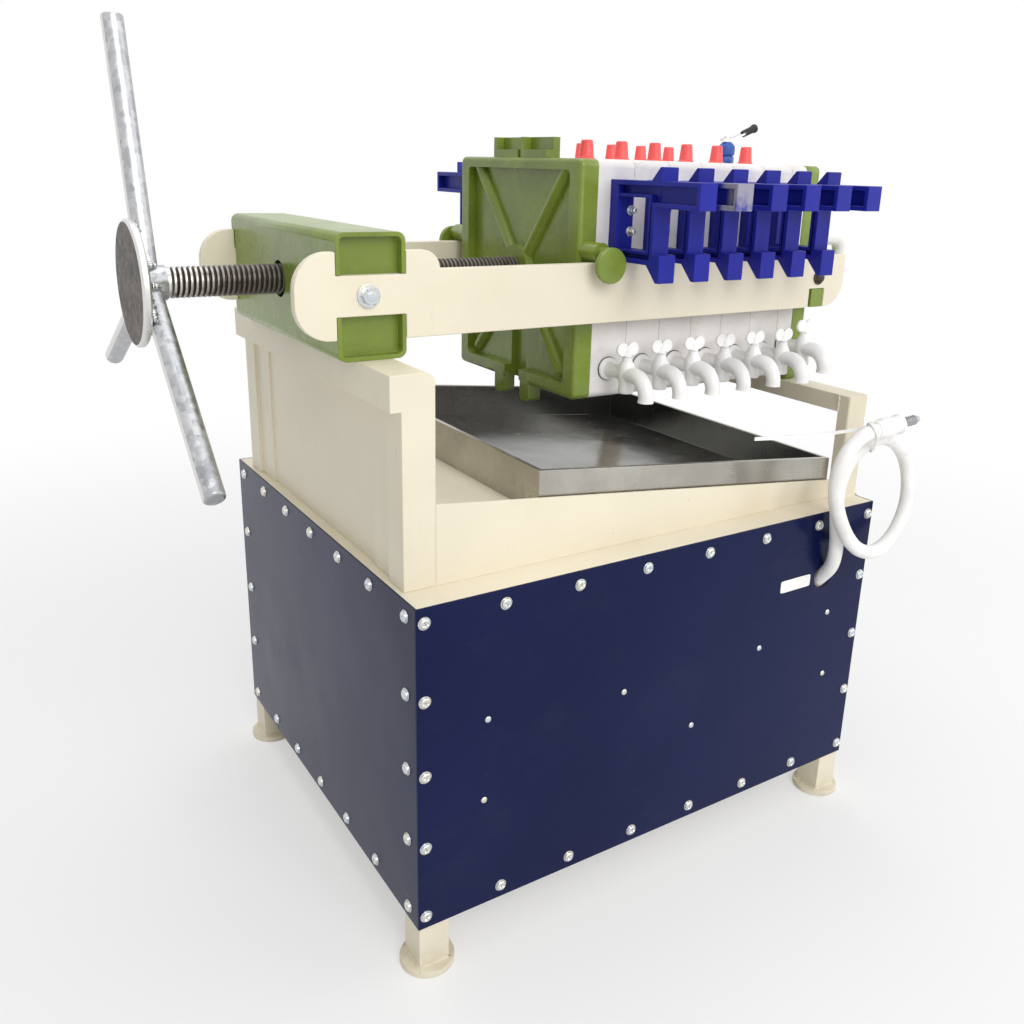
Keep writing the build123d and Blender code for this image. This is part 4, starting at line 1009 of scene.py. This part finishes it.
HANDLE_HALF = 13.0
HANDLE_SHIFT = 4.0  # towards the fixed head
HANDLE_SKIN = 6.0
HANDLE_REACH = 166.0
HANDLE_BODY = 88.0
HANDLE_HEIGHT = 99.0
ARM_HEIGHT = 31.0
HOOK_DROP = 20.0
FLANGE = 16.0
WEB = 5.0
WINDOW = (16.0, 74.0, 16.0, 79.0)  # out from the plate's side and up from the rail
WINDOW_RIM = 4.0
RIM_DEPTH = 22.0  # across the web
HANDLE_BOLTS = (36.0, 62.0)  # up from the rail
SCUFFED_HANDLE = 2
SCUFF_REACH = (146.0, 136.0)  # out from the plates, where the scuffs are full and where they start


class PRESS_OT_handles(bpy.types.Operator):
    """Make the ribbed side handles of the filter plates with their bolts"""
    bl_idname = "press.handles"
    bl_label = "Side handles"

    def execute(self, context):
        for index in range(1, PLATE_COUNT + 1):
            low, high = measure(f"handles_{index}")
            foot = ((low[0] + high[0]) / 2 + HANDLE_SHIFT, PLATE_FRONT, low[2] + HOOK_DROP)
            body = f"plate_{index}"
            finish = "scuffed" if index == SCUFFED_HANDLE else "indigo"
            handle = self.handle().at(*foot)
            made = piece(f"ribbed_handles_{index}", handle + mirrored(handle), body, finish,
                         [f"handles_{index}"])
            bevel(made, 1.0)
            bolts = self.bolts().at(*foot)
            piece(f"handle_bolts_{index}", bolts + mirrored(bolts), body, "bright")
        return {"FINISHED"}

    def handle(self):
        """Skin round the outline, a thin web with a window, the window's raised rim, the flange on the plate
        and the solid hook and tab; X across, -Y out from the plate's side, Z up from the rail."""
        arm_low = HANDLE_HEIGHT - ARM_HEIGHT
        outline = [(0, 0), (0, HANDLE_HEIGHT), (-HANDLE_REACH, HANDLE_HEIGHT), (-HANDLE_REACH, arm_low),
                   (-HANDLE_BODY, arm_low), (-HANDLE_BODY, 0)]
        near, far, bottom, top = WINDOW
        flush = HANDLE_HALF - 0.2  # just inside the skin's edges
        edge = 2.0  # into the skin
        web = (-WEB / 2, WEB / 2)
        shape = band(outline, HANDLE_SKIN, -HANDLE_HALF, HANDLE_HALF)
        shape += cuboid(-flush, flush, -FLANGE, -1, 1, HANDLE_HEIGHT - 1)
        shape += cuboid(*web, -HANDLE_BODY + edge, -near, edge, bottom)
        shape += cuboid(*web, -HANDLE_BODY + edge, -far, bottom, top)
        shape += cuboid(*web, -HANDLE_BODY + edge, -near, top, HANDLE_HEIGHT - edge)
        shape += cuboid(*web, -HANDLE_REACH + edge, -HANDLE_BODY + edge, arm_low + edge, HANDLE_HEIGHT - edge)
        low, high, out = bottom - WINDOW_RIM, top + WINDOW_RIM, -far - WINDOW_RIM
        inside_flange = -near + WINDOW_RIM + 1
        rim = [(inside_flange, low), (inside_flange, high), (out, high), (out, low)]
        shape += band(rim, WINDOW_RIM, -RIM_DEPTH / 2, RIM_DEPTH / 2)
        hook = [(-76, 1), (-96, -HOOK_DROP), (-102, -HOOK_DROP), (-102, 14), (-87, 14)]
        foot, tip = HANDLE_HEIGHT - 1, HANDLE_HEIGHT + 16
        tab = [(-78, foot), (-94, tip), (-98, tip), (-98, foot)]
        return shape + prism(hook, -flush, flush) + prism(tab, -flush, flush)

    def bolts(self):
        """Two hexagon nuts on washers with the bolts' rounded ends, on the flange beside the web."""
        nut = disc(6.2, 1.2, 0.4, 24)
        nut += hexagon(8.6, 4.6, 0.7, 36).at(0, 0, 1.2)
        nut += turned([(0, 5.0), (3.4, 5.0), (3.4, 9.0), (0, 10.0)], 0.9, 20)
        return gathered(nut, [facing(FORWARDS, (8.2, -FLANGE, up), 0.3 * up) for up in HANDLE_BOLTS])


# Welds

LEG = 40.0
LEG_INSET = 2.0  # the covers' sheet
FOOT_TOP = 8.0
PORTAL_POST = 20.0
PORTAL_SEAM = 25.0
WELD_RADIUS, SEAM_RADIUS = 2.4, 1.6


class PRESS_OT_stand_welds(bpy.types.Operator):
    """Make the painted weld beads at the legs' feet and the portal"""
    bl_idname = "press.stand_welds"
    bl_label = "Stand welds"

    def execute(self, context):
        lines = []
        for x in (LEG_INSET, CABINET_LENGTH - LEG_INSET - LEG):
            for y in (LEG_INSET, BACK_COVER_Y - LEG_INSET - LEG):
                lines.append((self.ring(x, x + LEG, y, y + LEG, FOOT_TOP), WELD_RADIUS))
        low, high = measure("portal")
        for y in (low[1], high[1] - PORTAL_POST):
            lines.append((self.ring(low[0], high[0], y, y + PORTAL_POST, low[2]), WELD_RADIUS))
        rise = np.linspace(high[2] - PORTAL_SEAM, high[2], 30)
        for y in (low[1] + PORTAL_POST, high[1] - PORTAL_POST):
            lines.append(([(low[0], y, z) for z in rise], SEAM_RADIUS))
        beads = weld_bead(*lines[0], 0.0)
        for count, (path, radius) in enumerate(lines[1:]):
            beads += weld_bead(path, radius, 0.6 * count)
        piece("stand_welds", beads, "stand", "cream", crease=70)
        return {"FINISHED"}

    def ring(self, x0, x1, y0, y1, z):
        """A closed path round a rectangle at one height, in even steps along each side."""
        corners = np.array([(x0, y0), (x1, y0), (x1, y1), (x0, y1), (x0, y0)], float)
        steps = np.linspace(0, 1, 16, endpoint=False)[:, None]
        runs = [start + (end - start) * steps for start, end in zip(corners, corners[1:])]
        flat = np.vstack(runs + [corners[-1:]])
        return np.insert(flat, 2, z, axis=1)


# Valve

class PRESS_OT_valve(bpy.types.Operator):
    """Make the small ball valve with its lever on the fixed head"""
    bl_idname = "press.valve"
    bl_label = "Ball valve"

    def execute(self, context):
        low, high = measure("valve_body")
        x, y = (low[0] + high[0]) / 2, (low[1] + high[1]) / 2
        housing = self.housing(high[2] - low[2]).at(x, y, low[2])
        piece("valve_housing", housing, "stand", "blue", ["valve_body"])
        arm, grip = self.arm().at(x, y, high[2]), self.grip().at(x, y, high[2])
        piece("valve_lever_arm", arm, "lever", "bright", ["valve_lever"])
        piece("valve_grip", grip, "lever", "rubber")
        return {"FINISHED"}

    def housing(self, height):
        """Hexagon foot, round body and a narrower neck."""
        body = [(0, 11), (9, 11), (13, 15), (13, 27), (9.5, 31), (6.5, height), (0, height)]
        return hexagon(22.0, 12.0, 1.0) + turned(body, 1.5, rings=4)

    def arm(self):
        """A flat bar bent up at a slant, carried along its line."""
        line = smooth_line([(-11, 0, 3), (6, 0, 3), (14, 0, 6), (38, 0, 15)], 6)
        bar = np.array([(-5, -1.5), (5, -1.5), (5, 1.5), (-5, 1.5)])
        nut = hexagon(9.0, 4.0, 0.6, 36).at(0, 0, 4.4)
        return along(line, bar) + nut

    def grip(self):
        """A round grip that flares towards its end."""
        profile = [(0, 0), (4.6, 0), (5.2, 3), (5.4, 20), (7.0, 27), (6.2, 30), (0, 30.5)]
        return turned(profile, 1.2, 28, 4).moved(facing((38, 0, 15), (31, 0, 12.2)))


# Hose

def nurbs(name, points, radius):
    """A round NURBS curve of order 3 with the given control points, in metres of the frame."""
    curve = bpy.data.curves.new(name, "CURVE")
    curve.dimensions = "3D"
    curve.bevel_depth = radius * MM
    curve.bevel_resolution = 8
    curve.resolution_u = 10
    curve.use_fill_caps = True
    spline = curve.splines.new("NURBS")
    spline.points.add(len(points) - 1)
    places = np.asarray(points, float) * MM + MACHINE_ORIGIN
    spline.points.foreach_set("co", np.hstack([places, np.ones((len(places), 1))]).ravel())
    spline.order_u = 3
    spline.use_endpoint_u = True
    return placed(name, curve)


class PRESS_OT_hose(bpy.types.Operator):
    """Make the white hose with its ferrule, barb and cable tie"""
    bl_idname = "press.hose"
    bl_label = "Hose"

    def execute(self, context):
        tube = nurbs("white_hose", HOSE_ROUTE, HOSE_RADIUS)
        fit(tube, "stand", "hose", ["hose"])
        route = np.asarray(HOSE_ROUTE, float)
        aim = facing(route[-1] - route[-2], route[-1])
        end, tied = ["hose_end"], ["cable_tie"]
        ferrule = piece("hose_ferrule", self.ferrule().moved(aim), "stand", "white", end)
        barb = piece("hose_barb", self.barb().moved(aim), "stand", "zinc", end)
        loop, tail = self.tie()
        tie = piece("nylon_tie", loop, "stand", "white", tied)
        piece("tie_tail", tail, "stand", "white", tied)
        return {"FINISHED"}

    def ferrule(self):
        """Turned plastic sleeve with a grip collar."""
        profile = [(0, -6), (11.6, -6), (12.4, 2), (14.4, 6), (14.4, 18), (12.2, 21), (12.2, 36), (14.0, 38),
                   (14.0, FERRULE_LENGTH), (0, FERRULE_LENGTH)]
        return turned(profile, 1.4, 36)

    def barb(self):
        """Metal hose tail: a row of turned saw-tooth ribs and a narrower tip."""
        ribs = [(0, FERRULE_LENGTH - 2), (6.9, FERRULE_LENGTH - 2)]
        for step in range(5):
            foot = FERRULE_LENGTH + 4 + 6.4 * step
            ribs += [(5.2, foot), (7.0, foot + 0.8), (5.4, foot + 5.6)]
        tip = FERRULE_LENGTH + BARB_LENGTH
        return lathe(ribs + [(4.6, tip - 1), (4.0, tip), (0, tip)], 32)

    def tie(self):
        """A flat strap carried round both stretches of hose, along two half circles joined by straight lines;
        its square head; and its ribbed tail, a straight line that sags by half a sine wave."""
        near, far = np.array(TIE_ROUND_END), np.array(TIE_ROUND_LOOP)
        reach = far - near
        length = np.linalg.norm(reach)
        right = reach / length
        across = np.array([1.0, 0, 0]) - right * right[0]
        across /= np.linalg.norm(across)
        top = np.cross(across, right)
        spread = length + 2 * HOSE_RADIUS * (1 / across[0] - 1)
        radius = HOSE_RADIUS + TIE_GAP
        half = np.linspace(-math.pi / 2, math.pi / 2, 16)
        cap = np.stack([spread / 2 + radius * np.cos(half), radius * np.sin(half)], axis=1)
        loop = np.vstack([cap, -cap])
        path = (near + far) / 2 + loop[:, :1] * right + loop[:, 1:] * top
        corners = np.array([(-0.5, -0.5), (0.5, -0.5), (0.5, 0.5), (-0.5, 0.5)])
        flat = corners * (TIE_THICKNESS, TIE_WIDTH)
        strap = along(path, flat, across, wrap=True)
        head_at = (near + far) / 2 + top * (radius + TIE_HEAD_RISE)
        turn = Matrix([right, top, across]).transposed().to_4x4()
        head = pillow(TIE_HEAD, 7).moved(Matrix.Translation(head_at) @ turn)
        share = np.linspace(0, 1, 120)[:, None]
        tip = np.array(TIE_TIP)
        sag = np.array([0, 0, -TIE_SAG]) * np.sin(math.pi * share)
        tail = head_at + (tip - head_at) * share + sag
        teeth = 1 - 0.06 * (np.arange(len(tail)) % 2)
        return strap + head, along(tail, flat[:, ::-1], (0, 1, 0), teeth)


# Stage

def angle_setting(label, use, degrees):
    """An angle in the panel."""
    default = math.radians(degrees)
    return bpy.props.FloatProperty(name=label, description=use, subtype="ANGLE", default=default)


class StageSettings(bpy.types.PropertyGroup):
    """Camera and light of the studio."""
    camera: bpy.props.FloatVectorProperty(
        name="Camera", description="Camera place in machine millimetres", default=(-412.7, -850.6, 941.2))
    heading: angle_setting("Heading", "Turn from +Y towards +X", 33.244)
    pitch: angle_setting("Pitch", "Slope of the view, up is positive", -17.324)
    roll: angle_setting("Roll", "Turn about the view", 1.620)
    focal: bpy.props.FloatProperty(
        name="Focal length", description="Lens in pixels of a frame 1024 wide", default=969.3)
    world: bpy.props.FloatProperty(name="World", description="Light of the surroundings", default=0.50, min=0)
    key: bpy.props.FloatProperty(
        name="Key lamp", description="Power of the key lamp", default=62.0, min=0, unit="POWER")


FRAME_PIXELS = 1024
SENSOR = 36.0
PRINCIPAL_POINT = (533.4, 468.5)  # in pixels of the same frame
FLOOR_GLOW = 0.45  # share of plain white near the object
FLOOR_REACH = 14.0
FLOOR_DROP = 0.0005
LAMPS = {  # place, target and side in metres, share of the key lamp's power
    "key_lamp": ((-0.2, -3.1, 2.5), (0.05, 0.0, 0.6), 2.2, 1.0),
    "fill_lamp": ((2.7, -1.7, 1.9), (0.1, 0.0, 0.6), 2.4, 0.3),
    "top_lamp": ((0.1, 0.6, 3.2), (0.1, 0.0, 0.6), 2.4, 0.5),
}


class PRESS_OT_stage(bpy.types.Operator):
    """Make the floor, lights, world and camera"""
    bl_idname = "press.stage"
    bl_label = "Studio"

    def execute(self, context):
        settings = context.scene.press_stage
        self.floor()
        self.world(settings.world)
        for name, (place, target, size, share) in LAMPS.items():
            self.lamp(name, place, target, size, settings.key * share)
        self.camera(settings)
        context.scene.view_settings.view_transform = "Standard"
        return {"FINISHED"}

    def floor(self):
        """A wide pale floor: white to the camera further out, with the object's shadow kept near it."""
        signs = ((-1, -1), (1, -1), (1, 1), (-1, 1))
        corners = [(x * FLOOR_REACH, y * FLOOR_REACH, -FLOOR_DROP) for x, y in signs]
        mesh = bpy.data.meshes.new("floor")
        mesh.from_pydata(corners, [], [(0, 1, 2, 3)])
        made = placed("floor", mesh)
        recipe = Recipe(bpy.data.materials.new("floor_pale"))
        pale = recipe.mix(recipe.noise(1.5, 3), (0.86, 0.86, 0.855), (0.90, 0.90, 0.895))
        lit = recipe.principled(pale, 0.75)
        glow = recipe.node("Emission", None, {"Color": (1.0, 1.0, 1.0, 1.0), "Strength": 1.0})
        away = (recipe.axis("X") ** 2.0 + recipe.axis("Y") ** 2.0) ** 0.5
        share = recipe.seen() * (FLOOR_GLOW + (1.0 - FLOOR_GLOW) * away.between(0.7, 2.6))
        mixed = recipe.node("MixShader", None, {0: share, 1: lit, 2: glow})
        recipe.node("OutputMaterial", None, {"Surface": mixed})
        mesh.materials.append(recipe.owner)

    def world(self, strength):
        """White to the camera, to reflections and through glass; an even soft light for everything else."""
        world = bpy.data.worlds.new("studio")
        bpy.context.scene.world = world
        recipe = Recipe(world)
        level = strength + (1.0 - strength) * recipe.seen()
        glow = recipe.node("Background", None, {"Color": (1.0, 1.0, 1.0, 1.0), "Strength": level})
        recipe.node("OutputWorld", None, {"Surface": glow})

    def lamp(self, name, place, target, size, power):
        """A square area lamp that faces a target."""
        data = bpy.data.lights.new(name, "AREA")
        data.shape = "SQUARE"
        data.size = size
        data.energy = power
        made = placed(name, data)
        made.location = place
        made.rotation_mode = "QUATERNION"
        made.rotation_quaternion = (Vector(target) - Vector(place)).to_track_quat("-Z", "Y")

    def camera(self, settings):
        """The camera of the photograph: place, heading, pitch, roll, lens and shift."""
        data = bpy.data.cameras.new("camera")
        data.sensor_width = SENSOR
        data.lens = settings.focal * SENSOR / FRAME_PIXELS
        data.shift_x = (FRAME_PIXELS / 2 - PRINCIPAL_POINT[0]) / FRAME_PIXELS
        data.shift_y = (PRINCIPAL_POINT[1] - FRAME_PIXELS / 2) / FRAME_PIXELS
        made = placed("camera", data)
        made.location = np.array(settings.camera) * MM + MACHINE_ORIGIN
        turn = Quaternion((0, 0, 1), -settings.heading)
        nod = Quaternion((1, 0, 0), math.pi / 2 + settings.pitch)
        made.rotation_mode = "QUATERNION"
        made.rotation_quaternion = turn @ nod @ Quaternion((0, 0, 1), settings.roll)
        bpy.context.scene.camera = made


class PRESS_PT_panel(bpy.types.Panel):
    """Operators and settings of the filter press"""
    bl_idname = "PRESS_PT_panel"
    bl_label = "Filter press"
    bl_space_type = "VIEW_3D"
    bl_region_type = "UI"
    bl_category = "Filter press"

    def draw(self, context):
        for group in (context.scene.press_finishes, context.scene.press_stage):
            for name in group.__annotations__:
                self.layout.prop(group, name)
        for operator in OPERATORS:
            self.layout.operator(operator.bl_idname)


GROUPS = (FinishSettings, StageSettings)
OPERATORS = (
    PRESS_OT_stage, PRESS_OT_frame_finishes, PRESS_OT_hose, PRESS_OT_closing_screw, PRESS_OT_cover_fasteners,
    PRESS_OT_rail_bolts, PRESS_OT_taps, PRESS_OT_caps, PRESS_OT_handles, PRESS_OT_stand_welds, PRESS_OT_valve,
)


def register():
    for cls in (*GROUPS, *OPERATORS, PRESS_PT_panel):
        bpy.utils.register_class(cls)
    bpy.types.Scene.press_finishes = bpy.props.PointerProperty(type=FinishSettings)
    bpy.types.Scene.press_stage = bpy.props.PointerProperty(type=StageSettings)


def unregister():
    del bpy.types.Scene.press_finishes
    del bpy.types.Scene.press_stage
    for cls in reversed((*GROUPS, *OPERATORS, PRESS_PT_panel)):
        bpy.utils.unregister_class(cls)


def main():
    """Register and run every operator in order."""
    register()
    for operator in OPERATORS:
        group, name = operator.bl_idname.split(".")
        getattr(getattr(bpy.ops, group), name)()


if __name__ == "__main__":
    main()
